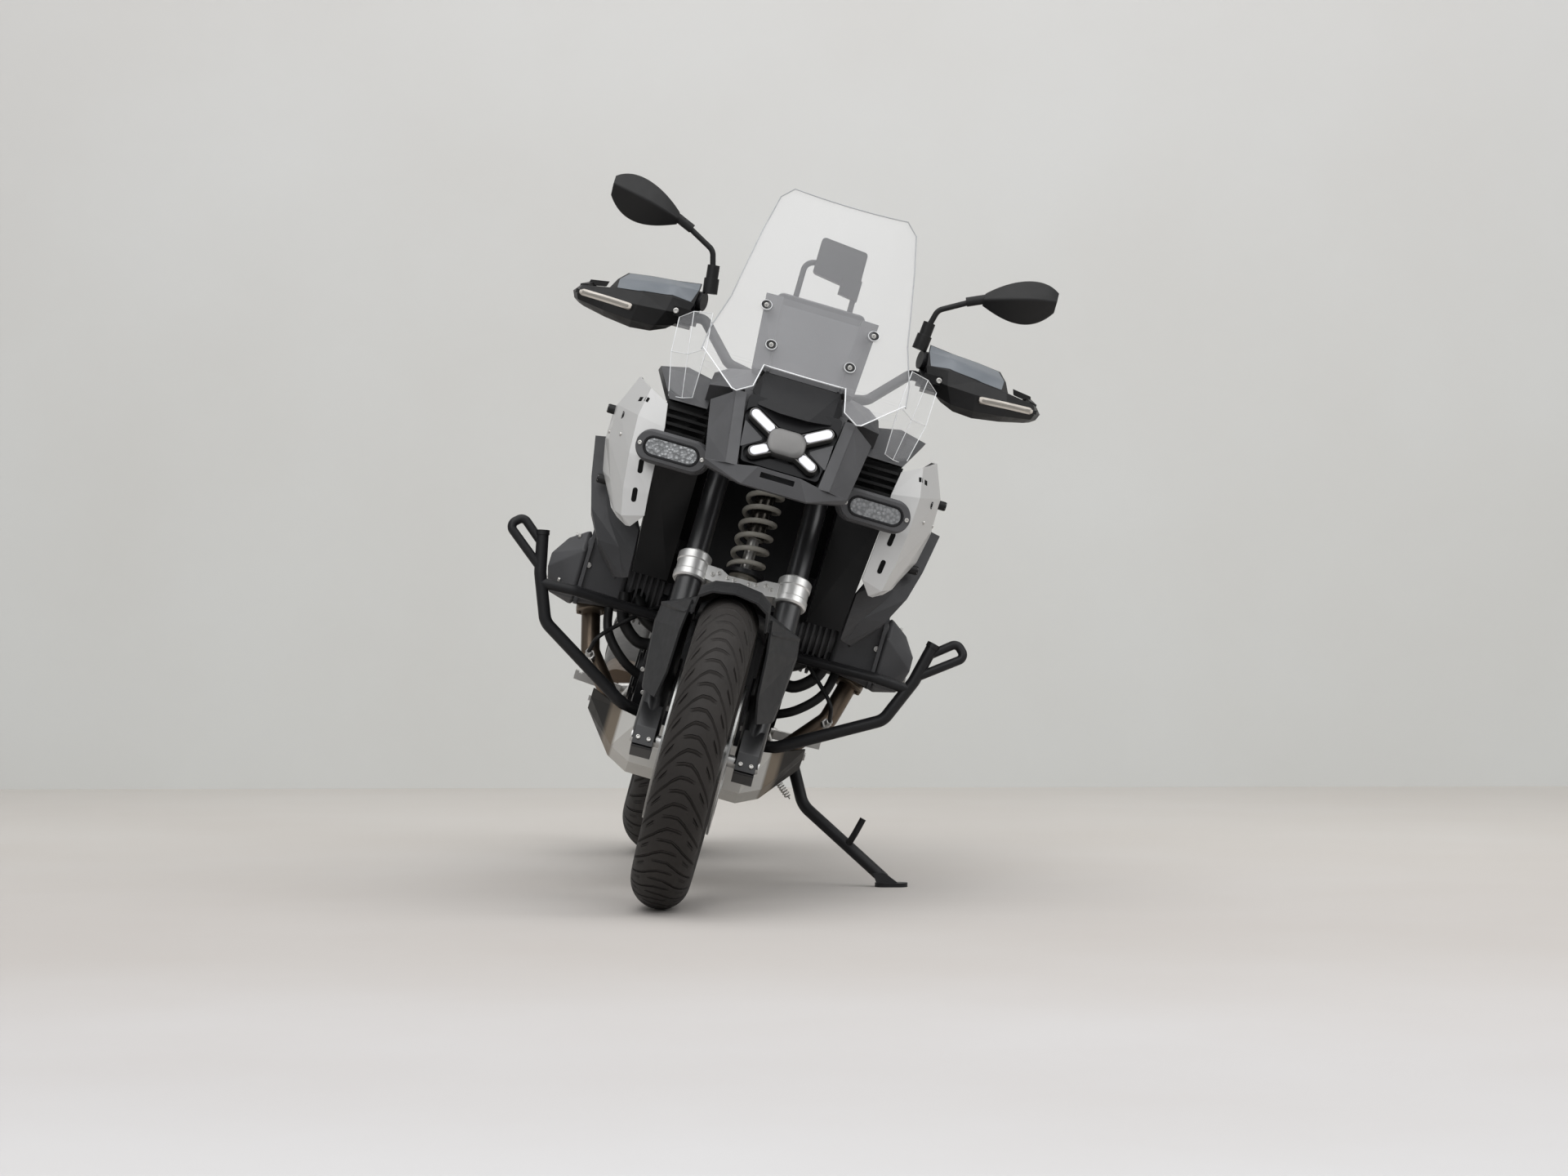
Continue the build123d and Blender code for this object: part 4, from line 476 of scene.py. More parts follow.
# name, colour, roughness, metal, then what differs from surface()'s usual
LOOKS = (
    ("powder_black", (0.010, 0.010, 0.011), 0.42, 0, dict(grain=(1400, 0.1), shine=0.25)),
    ("cast_grey", (0.072, 0.072, 0.075), 0.5, 0.2, dict(grain=(420, 0.3), shine=0.3)),
    ("cast_black", (0.012, 0.012, 0.013), 0.48, 0, dict(grain=(500, 0.3), shine=0.3)),
    # the header pipes' dark bronze is partly their own colour and partly painted shade, kept dark for the
    # shadow they lie in
    ("header_steel", (0.13, 0.10, 0.075), 0.36, 0.9, dict(vary=0.18, patch=7, grain=(300, 0.05), edge=0)),
    ("silencer_steel", (0.060, 0.058, 0.056), 0.4, 0.5, dict(vary=0.06, grain=(900, 0.05), edge=0)),
    ("plate_silver", (0.60, 0.59, 0.56), 0.45, 0.3, dict(vary=0.05, grain=(700, 0.08))),
    ("plastic_black", (0.0105, 0.0103, 0.0105), 0.46, 0, dict(grain=(1500, 0.15), shine=0.25)),
    ("plastic_fender", (0.022, 0.022, 0.023), 0.5, 0, dict(grain=(1500, 0.15), edge=1.2, shine=0.3)),
    ("plastic_dark", (0.062, 0.062, 0.065), 0.5, 0, dict(grain=(1500, 0.15), shine=0.35)),
    ("plastic_shield", (0.034, 0.034, 0.036), 0.52, 0, dict(grain=(1500, 0.15), shine=0.35)),
    ("smoke_spoiler", (0.13, 0.145, 0.162), 0.34, 0, dict(vary=0.03, grain=(500, 0.02), edge=0, sway=0.02)),
    ("panel_paint", (0.50, 0.497, 0.490), 0.38, 0.12,
     dict(vary=0.02, patch=5, grain=(2200, 0.04), edge=1.1, sway=0.02, Coat_Weight=0.3,
          Coat_Roughness=0.2)),
    ("tank_black", (0.016, 0.016, 0.018), 0.3, 0, dict(grain=(900, 0.06), sway=0.02, Coat_Weight=0.3)),
    ("lamp_body", (0.009, 0.009, 0.010), 0.5, 0, dict(grain=(800, 0.04), sway=0.02, shine=0.2)),
    ("lamp_white", (0.74, 0.74, 0.78), 0.3, 0,
     dict(vary=0.03, patch=40, grain=(900, 0.03), edge=0, Coat_Weight=0.5)),
    ("lamp_hub", (0.15, 0.147, 0.144), 0.42, 0.7,
     dict(vary=0.08, grain=(500, 0.2), edge=1.3, sway=0.03, stretch=(9, 1, 1))),
    ("lens_cream", (0.50, 0.46, 0.41), 0.35, 0,
     dict(vary=0.04, grain=(900, 0.03), edge=0, Coat_Weight=0.5)),
    ("lens_channel", (0.22, 0.205, 0.18), 0.3, 0,
     dict(vary=0.08, grain=(900, 0.03), edge=0, Coat_Weight=0.5)),
    # near black: the grips' rubber, the radiator screens, and painted shade for the openings of the panels'
    # slots and holes
    ("hollow_black", (0.004, 0.004, 0.004), 0.7, 0, dict(grain=(900, 0.05), edge=0, shine=0.1)),
    ("edge_bright", (0.80, 0.81, 0.82), 0.3, 0,
     dict(vary=0.05, grain=(400, 0.02), edge=0, Coat_Weight=0.6)),
    ("edge_grey", (0.36, 0.37, 0.38), 0.3, 0, dict(vary=0.05, grain=(400, 0.02), edge=0, Coat_Weight=0.6)),
    ("header_collar", (0.16, 0.13, 0.10), 0.4, 0.85, dict(vary=0.1, grain=(500, 0.1))),
    ("zinc", (0.50, 0.49, 0.47), 0.34, 0.9, dict(vary=0.06, patch=60, grain=(900, 0.03), sway=0.03)),
    ("seat_vinyl", (0.016, 0.0157, 0.0157), 0.55, 0, dict(grain=(650, 0.5), edge=0, shine=0.35)),
    ("seat_welt", (0.010, 0.010, 0.010), 0.5, 0, dict(grain=(900, 0.2), edge=0, bevel=0.4)),
    ("seat_thread", (0.055, 0.053, 0.05), 0.7, 0, dict(grain=(1500, 0.3), edge=0, bevel=0.3)),
    ("peg_steel", (0.50, 0.49, 0.47), 0.4, 0.9, dict(grain=(600, 0.2))),
    ("spring_paint", (0.30, 0.285, 0.25), 0.4, 0, dict(vary=0.05, grain=(700, 0.03), edge=0, shine=0.3)),
    ("damper", (0.050, 0.045, 0.038), 0.25, 0.8, dict(vary=0.1, grain=(700, 0.04))),
    ("fork_black", (0.012, 0.012, 0.013), 0.34, 0,
     dict(vary=0.05, grain=(800, 0.01), sway=0.015, shine=0.6)),
    ("machined", (0.66, 0.655, 0.64), 0.4, 0.85,
     dict(vary=0.02, patch=6, grain=(900, 0.01), sway=0.02, edge=1.1)),
    ("rim_metal", (0.10, 0.10, 0.10), 0.3, 0.9, dict(vary=0.08, grain=(400, 0.04), edge=3)),
    ("disc_steel", (0.42, 0.42, 0.41), 0.32, 1, dict(vary=0.1, grain=(500, 0.06))),
    ("mirror_glass", (0.86, 0.87, 0.88), 0.04, 1, dict(vary=0.01, grain=(200, 0), edge=0, sway=0.01)),
    ("display_glass", (0.006, 0.007, 0.009), 0.08, 0, dict(grain=(200, 0), edge=0, Coat_Weight=0.6)),
    ("lamp_red", (0.32, 0.008, 0.008), 0.14, 0, dict(vary=0.1, grain=(500, 0.1), edge=0, Coat_Weight=0.7)),
    ("tyre_black", (0.024, 0.0212, 0.0195), 0.66, 0,
     dict(patch=14, grain=(1600, 0.12), edge=0, bevel=0.4, shine=0.25)),
    # groove floors: darker than the tread, as painted shade in the grooves together with the dust they hold
    ("groove_shade_and_dust", (0.004, 0.0038, 0.0035), 0.9, 0, dict(grain=(900, 0.1), edge=0, bevel=0.3, shine=0.1)),
)
MATERIALS = {name: surface(name, colour, rough, metal, **more) for name, colour, rough, metal, more in LOOKS}
MATERIALS["plate_silver"] = wings(MATERIALS["plate_silver"])
MATERIALS["clear_screen"] = clear("clear_screen", (0.80, 0.80, 0.82), 0.105)
MATERIALS["clear_blade"] = clear("clear_blade", (0.82, 0.83, 0.85), 0.08)
MATERIALS["aux_lens"] = prisms("aux_lens", (0.22, 0.225, 0.23))
DRESS = {
    "powder_black": ("main_frame", "rear_frame", "crash_bar_left", "crash_bar_right", "side_stand",
                     "handlebar", "device_holder", "luggage_rack", "rear_strut"),
    "cast_black": ("engine_block", "swingarm", "front_arm"),
    "cast_grey": ("cylinder_left", "cylinder_right"),
    "header_steel": ("exhaust",),
    "plate_silver": ("skid_plate",),
    "plastic_black": ("handguard_left", "handguard_right", "mirror_left", "mirror_right",
                     "rear_mudguard", "radiator_left", "radiator_right", "tail_body"),
    "plastic_fender": ("front_fender",),
    "plastic_dark": ("beak", "cockpit", "aux_light_left", "aux_light_right"),
    "plastic_shield": ("side_shield_left", "side_shield_right"),
    "panel_paint": ("tank_panel_left", "tank_panel_right"),
    "tank_black": ("fuel_tank",),
    "lamp_body": ("headlight",),
    "seat_vinyl": ("seat_rider", "seat_pillion"),
    "peg_steel": ("footrest_left", "footrest_right"),
    "spring_paint": ("front_strut",),
    "fork_black": ("fork_leg_left", "fork_leg_right", "upper_bridge"),
    "machined": ("fork_bridge", "front_axle"),
    "rim_metal": ("front_rim", "rear_rim"),
    "disc_steel": ("front_disc_left", "front_disc_right", "rear_disc"),
    "tyre_black": ("front_tyre", "rear_tyre"),
    "clear_screen": ("windscreen",),
    "clear_blade": ("wind_deflector_left", "wind_deflector_right"),
}


def dress():
    """Puts the materials on the CAD nodes."""
    for look, names in DRESS.items():
        for name in names:
            node = NODES[name]
            node.data.materials.clear()
            node.data.materials.append(MATERIALS[look])


# ---- tyres
# pitches round the tyre, how far the grooves sweep, their width and depth, and columns to a side
TREADS = {
    "front": dict(spec=FRONT_TYRE, pitches=37, reach=1.0, groove=7.2, depth=3.4, columns=25),
    "rear": dict(spec=REAR_TYRE, pitches=33, reach=1.2, groove=8.5, depth=3.6, columns=28),
}
APEX, TAIL = 0.09, 0.26      # where a groove's bend and its short tail end, of the half width
TAIL_FADE, EDGE, EDGE_FADE = 0.03, 0.95, 0.12     # its fade at the tail, its outer end and its fade there
SWEEP, TAIL_SWEEP = (76.0, 44.0), 22.0            # millimetres the arms and the tails sweep back
TAIL_ROWS, TAIL_EASE = 0.34, 0.06                 # where rows stop following the tails, and over how much
DASH = (0.44, 0.64, 0.62)    # the dash's ends across the tread, and its place along the pitch
DASH_WIDTH = 1.15            # of the groove's
WALL_SLOPE = 0.6             # millimetres that a groove's wall leans outward
PLAIN_ROWS = (0.27, 0.36, 0.76, 0.86)             # rows of the pitch that have no groove
SHOULDER = 84                # degrees from the crown's middle to its edge
SUNK = 0.4                   # share of the groove's depth from which rubber counts as its floor


def swept(a, reach):
    """Millimetres a groove has swept back at this distance from the middle, 0 to 1."""
    return reach * (SWEEP[0] * a + SWEEP[1] * a * a)


def tread_rows(pitch, groove):
    """Rows along one pitch as (offset, which groove or None, whether it lies at the bottom)."""
    half, rows = groove / 2, []
    for start, which, g in ((0.0, "A", 1.0), (0.5, "B", 1.0), (DASH[2] - 0.5, "D", DASH_WIDTH),
                            (DASH[2], "C", DASH_WIDTH)):
        for off, deep in ((-half * g - WALL_SLOPE, False), (-half * g, True), (half * g, True),
                          (half * g + WALL_SLOPE, False)):
            rows.append((start * pitch + off, which, deep))
    rows.extend((c * pitch, None, False) for c in PLAIN_ROWS)
    return sorted(rows, key=lambda row: row[0])


def sink(which, v):
    """0 to 1 of the groove's depth: A runs to the right shoulder, B to the left, C and D are dashes."""
    if which in ("A", "B"):
        w = v if which == "A" else -v
        return min(1.0, max(0.0, (TAIL - w) / TAIL_FADE), max(0.0, (w + EDGE) / EDGE_FADE))
    w = -v if which == "C" else v
    return 1.0 if DASH[0] <= w <= DASH[1] else 0.0


def swing(v, phase, reach):
    """How far back a row lies at v: the two grooves' arms sweep, and their tails stay nearly level."""
    arm = swept(max(0.0, abs(v) - APEX), reach)
    if abs(v) > TAIL_ROWS:
        return arm
    tail = TAIL_SWEEP * max(0.0, abs(v) - APEX) * reach
    share = abs(2.0 * (phase % 1.0) - 1.0)       # 1 beside groove A, 0 beside groove B
    flat = share if v > 0 else 1.0 - share
    ease = min(1.0, max(0.0, (TAIL_ROWS - abs(v)) / TAIL_EASE))
    return arm + (tail - arm) * flat * ease


def tyre_piece(name, tread, node, axle, body):
    """Whole tyre: grooved crown, sidewalls and beads, as one grid round the wheel."""
    spec, n = tread["spec"], tread["columns"]
    radius, crown, seat, half = (spec[k] for k in ("radius", "crown", "seat", "half"))
    side = radius - crown
    pitch = math.tau * radius / tread["pitches"]
    rows = tread_rows(pitch, tread["groove"])
    across = [-1 + k / n for k in range(2 * n + 1)]
    walls = [(half + 3, seat + 10), (half + 1, seat + 4), (half - 2, seat + 1)]
    shoulder = math.radians(SHOULDER)
    verts, low = [], []
    for p in range(tread["pitches"]):
        for offset, which, deep in rows:
            ring = [(-x, r, 0.0, False) for x, r in reversed(walls)]
            for v in across:
                fade = sink(which, v) if which and deep else 0.0
                rr = crown - tread["depth"] * fade
                a = v * shoulder
                ring.append((rr * math.sin(a), side + rr * math.cos(a),
                             swing(v, offset / pitch, tread["reach"]), fade > SUNK))
            ring.extend((x, r, 0.0, False) for x, r in walls)
            for x, r, back, sunk in ring:
                angle = (p * pitch + offset - back) / radius
                verts.append((x, r * math.sin(angle), r * math.cos(angle)))
                low.append(sunk)
    width, total = len(across) + 2 * len(walls), tread["pitches"] * len(rows)
    faces = [(i * width + k, i * width + k + 1, (i + 1) % total * width + k + 1, (i + 1) % total * width + k)
             for i in range(total) for k in range(width - 1)]
    obj = piece(name, verts, faces, body, "tyre_rubber", "tyre_black", 28.0, Matrix.Translation(axle))
    # faces on a groove's floor take the darker look: painted shade in the grooves, with some dust
    obj.data.materials.append(MATERIALS["groove_shade_and_dust"])
    for face in obj.data.polygons:
        if sum(low[i] for i in face.vertices) > 3:
            face.material_index = 1
    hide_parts(node)
    return obj


# ---- nose
LAMP = local((0, -800, 968), (1, 0, 0), (0, -0.906, 0.423))
# angle and reach of the two left arms
LAMP_ARMS = ((31.6, 101.0), (-30.4, 81.0))


def lamp():
    """Lit arms and brushed hub over the lamp's solids, and the dark fills between the arms."""
    lit, sleeves = [], []
    for angle, reach in LAMP_ARMS:
        arm = LAMP @ Matrix.Rotation(math.radians(angle), 4, "Z") @ Matrix.Translation((reach / 2, 0, 0))
        shift = Matrix.Translation((17, 0, 0))
        lit.append((*slab(stadium(reach - 41, 19, 8), 11.5, 13.2, 0.8), arm @ shift))
        outer = stadium(reach + 1, 24, 8)
        sleeves.append((*ringed([(outer, -6.0), (outer, 11.6), (stadium(reach - 1.5, 21.5, 8), 12.6),
                                 (stadium(reach - 4, 19, 8), 12.2)]), arm))
    both("lamp_arms_lit", lit, "frame", "lamp_clear", "lamp_white")
    both("lamp_arm_frames", sleeves, "frame", "machined_silver", "lamp_hub")
    rim = rounded(79, 59, 22.5)
    crown = ringed([(rim, -4.0), (rim, 13.0), (rounded(74, 54, 21), 16.0), (rounded(56, 38, 16), 17.6),
                    (rounded(20, 12, 5.9), 18.2)])
    n = len(rim)
    crown[1].append(tuple(range(4 * n, 5 * n)))
    piece("lamp_hub", *crown, "frame", "machined_silver", "lamp_hub", 50.0, LAMP)
    fill = [(50, -2.5), (86, -27.5), (89, -26.5), (92, 29), (90.5, 30.5), (50, 3)]
    both("lamp_fills", [(*slab(fill, -0.5, 1.0, 0.5), LAMP)], "frame", "panel_dark", "plastic_dark")


AUX = local((216, -652, 897), (1, 0.18, 0), (0.177, -0.984, 0))


def aux_lights():
    """Fluted lens, rim and brow of both auxiliary lights."""
    both("aux_lenses", [(*slab(stadium(112, 36, 10), 2.0, 5.0, 1.6), AUX)], "frame", "lamp_clear", "aux_lens")
    both("aux_rims", [(*band(stadium(121, 44, 10), stadium(111, 35, 10), 4.0, 7.5, 1.2), AUX)],
         "frame", "panel_black", "lamp_body")
    both("aux_ridges", [(*slab([(-40, 26.5), (44, 26.5), (40, 30.5), (-34, 30.5)], -2.0, 4.0, 1.4), AUX)],
         "frame", "panel_dark", "plastic_dark")


# ---- screen and deflectors
SCREEN_LEAN = 0.56
CUP_R, PIT_R = 11.8, 10.6                         # of the cups round the screen's screws
SCREWS = ((83, 1160), (114, 1238))                # x and z of those screws


def screen_y(z):
    """The pane's middle line, which leans back by SCREEN_LEAN as it rises."""
    return -768 + (z - 1050) * SCREEN_LEAN


# pane as rows of (z at the edge, half width, z at the middle), from the top down
SCREEN_ROWS = ((1494, 122, 1488), (1470, 146, 1468), (1390, 163, 1390), (1300, 178, 1300), (1237, 188, 1237),
               (1160, 212, 1160), (1114, 216, 1114))
# left deflector as rows of three points, from the top down
DEFLECTOR = ([(214, -560, 1196), (252, -526, 1190), (278, -490, 1172)],
             [(206, -600, 1120), (240, -572, 1100), (274, -530, 1098)],
             [(206, -590, 1016), (226, -570, 1010), (254, -548, 1008)])


def screen_point(row, f):
    """A point of the pane, f of the way from its middle to its left edge."""
    z, half, crown = row
    return (half * f, screen_y(z) + 52 * (f * half / 200) ** 2, z + (crown - z) * (1 - f * f))


def screen_edges():
    """Edges of the clear panes, where the light gathers: bright at the foot, greyer against the sky."""
    top = [screen_point(SCREEN_ROWS[0], f) for f in (0, 0.4, 0.72, 1)]
    side = [screen_point(row, 1) for row in SCREEN_ROWS[1:]]
    y = screen_y(1114)
    foot = [(214, y + 60, 1118), (136, screen_y(1050) + 26, 1052), (126, screen_y(1050) + 22, 1050),
            (96, screen_y(1068) + 12, 1068), (86, y + 10, 1116), (70, y + 8, 1115), (0, y, 1114)]
    both("screen_edge_upper", [(*tube(top + side, 1.3, 6), SAME)], "frame", "clear_screen", "edge_grey")
    both("screen_edge_foot", [(*tube(foot, 1.5, 6), SAME)], "frame", "clear_screen", "edge_bright")
    rows = [[Vector(p) for p in row] for row in DEFLECTOR]
    rim = rows[0] + [rows[1][2]] + rows[2][::-1] + [rows[1][0]]
    both("deflector_edges", [(*tube(rim, 1.0, 6, True), SAME), (*tube([r[1] for r in rows], 0.8, 6), SAME),
                             (*tube(rows[1], 0.8, 6), SAME)], "frame", "clear_screen", "edge_bright")
    cups, pits = [], []
    for x, z in SCREWS:
        at = landed(("windscreen",), "frame", (x, -1000, z), (0, 1, 0))
        face = local(at, (1, 0, 0), (0, -0.87, 0.49))
        cups.append((*band(ring_of(CUP_R), ring_of(PIT_R), -1.0, 2.0, 0.4), face))
        pits.append((*slab(ring_of(PIT_R), -1.0, 0.8, 0.2), face))
    both("screen_cups", cups, "frame", "clear_screen", "edge_bright")
    both("screen_pits", pits, "frame", "panel_black", "plastic_black")


# ---- controls
def controls():
    """Handguard spoilers and light bars, mirror glasses, ribbed grips and the instrument's glass."""
    roof = [[(252, 66, 164), (300, 72, 158), (356, 80, 154), (404, 90, 148)],
            [(252, 46, 149), (304, 38, 145), (366, 42, 137), (420, 57, 129)],
            [(262, 32, 124), (302, 18, 124), (362, 13, 116), (418, 16, 109)]]
    for name, mirror in SIDES:
        node = (f"handguard_{name}",)
        rows = [[mirror @ (BARS @ Vector(p)) for p in (row if name == "left" else row[::-1])] for row in roof]
        piece(f"handguard_spoiler_{name}", *draped(node, "steering", rows, (0, -0.66, 0.75), 0.7)[:2],
              "steering", "panel_dark", "smoke_spoiler")
        bar = mirror @ BARS @ local((437, 0, 79.5), (0.95, 0.30, 0.055), (0.28, -0.96, 0.0))
        for label, length, width, lift, dome, look in (
                ("lens", 124, 14.5, 1.0, 1.0, "lens_cream"),
                ("channel", 112, 5.5, 2.6, 0.0, "lens_channel")):
            piece(f"handguard_{label}_{name}", *laid(node, "steering", bar, length, width, lift, dome)[:2],
                  "steering", "lamp_clear", look)
    glass = [(380, -323), (440, -342), (484, -329), (484, -307), (440, -270), (380, -268)]
    rear = BARS @ local((0, 69.2, 0), (1, 0, 0), (0, 1, 0))
    both("mirror_glasses", [(*slab(glass, 0.0, 1.2, 0.4), rear)], "steering", "lamp_clear", "mirror_glass")
    ribs = [(17.6, 0.0)]
    for k in range(17):
        ribs += [(18.6, 6.0 + 7 * k), (18.6, 9.5 + 7 * k), (17.8, 10.2 + 7 * k), (17.8, 12.4 + 7 * k)]
    a, b = Vector((318, 95.5, 90.2)), Vector((448, 138.7, 84.2))
    both("grips", [(*spun(ribs, 20), BARS @ local(a, (0, 0, 1), b - a))], "steering", "panel_black",
         "hollow_black")
    panel = local((0, -490, 1228), (1, 0, 0), (0, 0.978, 0.208))
    piece("display_glass", *slab(rounded(176, 90, 10), 15.0, 16.8, 0.5), "frame", "lamp_body",
          "display_glass", 35.0, panel)


# ---- body panels
def panels():
    """Two upright slots and two small square holes in each side panel, laid on it as near-black marks:
    painted shade for their openings.
    """
    slots = [local((x, -600, z), (0.12, 0.0, 1.0), (0.0, -1, 0)) for x, z in ((268, 852), (264, 792))]
    holes = [local((x, -560, z), (0.9, 0, 0.25), (0.25, -0.9, 0.35)) for x, z in ((297, 991), (314, 995))]
    for name, mirror in SIDES:
        node = (f"tank_panel_{name}",)
        marks = [laid(node, "frame", mirror @ at, 30, 10.5, 0.4) for at in slots]
        marks += [laid(node, "frame", mirror @ at, 12, 10, 0.5, 0.0, True, 4) for at in holes]
        piece(f"panel_slots_{name}", *merged(marks), "frame", "panel_black", "hollow_black")


# ---- fork, strut and stand
SPRING_COILS, SPRING_R, SPRING_WIRE, SPRING_HOOK = 11, 6.2, 1.7, 8.0


def front_end():
    """Damper, rod and spring cups inside the strut's spring, and the side stand's spring."""
    a, b = STRUT
    base = local(a, (1, 0, 0), b - a)
    top = (b - a).length - 26.8
    piece("damper_body", *spun([(21.5, 164), (21.5, top), (21.0, top)], 28), "frame", "fork_black",
          "damper", 35, base)
    piece("damper_rod", *spun([(12.4, 88), (12.4, 166), (12.0, 166)], 24), "frame", "machined_silver",
          "zinc", 35, base)
    cups = [(*spun([(30, z - 4.5), (42.6, z - 4.5), (42.6, z + 4.4), (14.0, z + 4.6)], 32), SAME)
            for z in (84, top + 6)]
    piece("spring_cups", *merged(cups), "frame", "fork_black", "powder_black", 35, base)
    p, q = Vector((176, -158, 312)), Vector((238, -186, 262))
    way = (q - p).normalized()
    one = way.orthogonal().normalized()
    two = way.cross(one)
    steps = 14
    hook = SPRING_HOOK
    coil = []
    for k in range(SPRING_COILS * steps + 1):
        angle = math.tau * k / steps
        along = hook + (q - p - 2 * hook * way).length * k / (SPRING_COILS * steps)
        coil.append(p + way * along + SPRING_R * (math.cos(angle) * one + math.sin(angle) * two))
    wire = [p, p + way * hook * 0.7] + coil + [q - way * hook * 0.7, q]
    spring = piece("stand_spring", *tube(wire, SPRING_WIRE, 6), None, "machined_silver", "zinc")
    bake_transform(spring)


def engine_side():
    """Header collars, probes with their leads, hoses and the dark sheets beside the fork."""
    down = Vector((-23, -30, -84))
    collar = spun([(24, -2), (33, -2), (33, 9), (30, 11), (21, 11)], 20)
    stud = spun([(5.2, -16), (5.2, 14), (3.2, 15)], 8)
    top = local((285, -272, 540), (0, 1, 0), down)
    parts = [(*collar, top)] + [(*stud, top @ Matrix.Translation((0, side * 27, 0))) for side in (1, -1)]
    both("header_collars", parts, "frame", "machined_silver", "header_collar")
    at, out = Vector((250, -300, 430)), Vector((0.25, -0.9, 0.35))
    probe = spun([(6.5, 10), (6.5, 30), (11, 30), (11, 42), (7.5, 43), (7.5, 58), (4, 60)], 6)
    both("exhaust_probes", [(*probe, local(at, (1, 0, 0), out))], "frame", "machined_silver", "zinc")
    end = at + out.normalized() * 58
    lead = curve([end, end + Vector((-10, -26, 34)), (222, -356, 520), (170, -344, 566), (128, -334, 590)], 6)
    hoses = [(*tube(lead, 4.5, 8), SAME)]
    for points, r in (([(226, -318, 590), (214, -326, 536), (176, -322, 500), (138, -312, 500)], 13),
                      ([(252, -306, 560), (236, -322, 500), (190, -326, 452), (136, -306, 424)], 10),
                      ([(200, -300, 600), (180, -318, 560), (150, -316, 540), (124, -306, 536)], 15)):
        hoses.append((*tube(curve(points, 6), r, 12), SAME))
    both("engine_hoses", hoses, "frame", "panel_black", "plastic_black")
    sheet = [(112, -904), (160, -904), (160, -636), (112, -636)]
    flat = local((0, -352, 0), (1, 0, 0), (0, 1, 0))
    both("radiator_screens", [(*slab(sheet, -1.5, 1.5, 0.5), flat)], "frame", "panel_black", "hollow_black")
    stub = spun([(9.8, -7), (9.8, 14), (8.4, 17), (5.0, 17), (4.6, 15)], 16)
    both("panel_lugs", [(*stub, local(place, (0, 1, 0), (1, 0, 0))) for place in
                        ((352, -412, 952), (318, -500, 944), (332, -430, 806))], "frame", "panel_black",
         "plastic_black")


# ---- bolts
BACK, INWARD, DOWN = (0, 1, 0), (-1, 0, 0), (0, 0, -1)
# the left side's socket heads by body: nodes, frame, places in it, the way they go in, radius
BOLTS = {
    "frame": (
        (("windscreen",), SAME, [(x, -1000, z) for x, z in SCREWS], BACK, 5.0),
        (("aux_light_{}",), AUX, [(-66, 0, 60), (67, 0, 60)], DOWN, 4.6),
        (("engine_block", "main_frame", "front_arm"), SAME,
         [(181, -700, 573), (163, -700, 507), (145, -700, 446), (131, -700, 399)], BACK, 5.2),
        (("cylinder_{}",), SAME, [(316, -700, 625)], BACK, 6.5),
        (("cylinder_{}",), SAME, [(600, -304, 678), (600, -196, 678), (600, -325.6, 578), (600, -174.4, 578)],
         INWARD, 5.0),
        (("tank_panel_{}",), SAME, [(500, -520, 905), (500, -440, 905)], INWARD, 4.0),
    ),
    "steering": (
        (("fork_leg_{}",), FORK, [(95, -120, -15), (117, -120, -15)], BACK, 4.8),
        (("fork_bridge",), FORK, [(62, -120, 385), (50, -120, 391), (30, -120, 386), (16, -120, 384)],
         BACK, 4.6),
        (("fork_leg_{}",), FORK, [(200, 58, 128), (200, 58, 170)], INWARD, 6.0),
        (("handguard_{}",), BARS, [(286, -150, 94)], BACK, 6.2),
    ),
}


def all_bolts():
    """Every socket head: one piece on the frame and one that turns with the steering."""
    for body, groups in BOLTS.items():
        rows = []
        for name, mirror in SIDES:
            for nodes, stand, places, way, r in groups:
                nodes, turn = [node.format(name) for node in nodes], mirror @ stand
                rows += [(nodes, turn @ Vector(p), turn.to_3x3() @ Vector(way), r) for p in places]
        bolts(f"bolts_{body}", body, "machined_silver", "zinc", rows)


# ---- tank cap, tail, silencer
COLLECTOR_GAP = 119.0        # from the rear tyre forward to the collector's end


def can_rings(length, stations):
    """Outlines round the silencer at (distance from its rear end, growth) stations."""
    rings = []
    for back, grow in stations:
        f = 1 + back / length
        rings.append((rounded(96 + 8 * f + 2 * grow, 120 + 30 * f + 2 * grow, max(8, 34 + 6 * f + grow)),
                      back))
    return rings


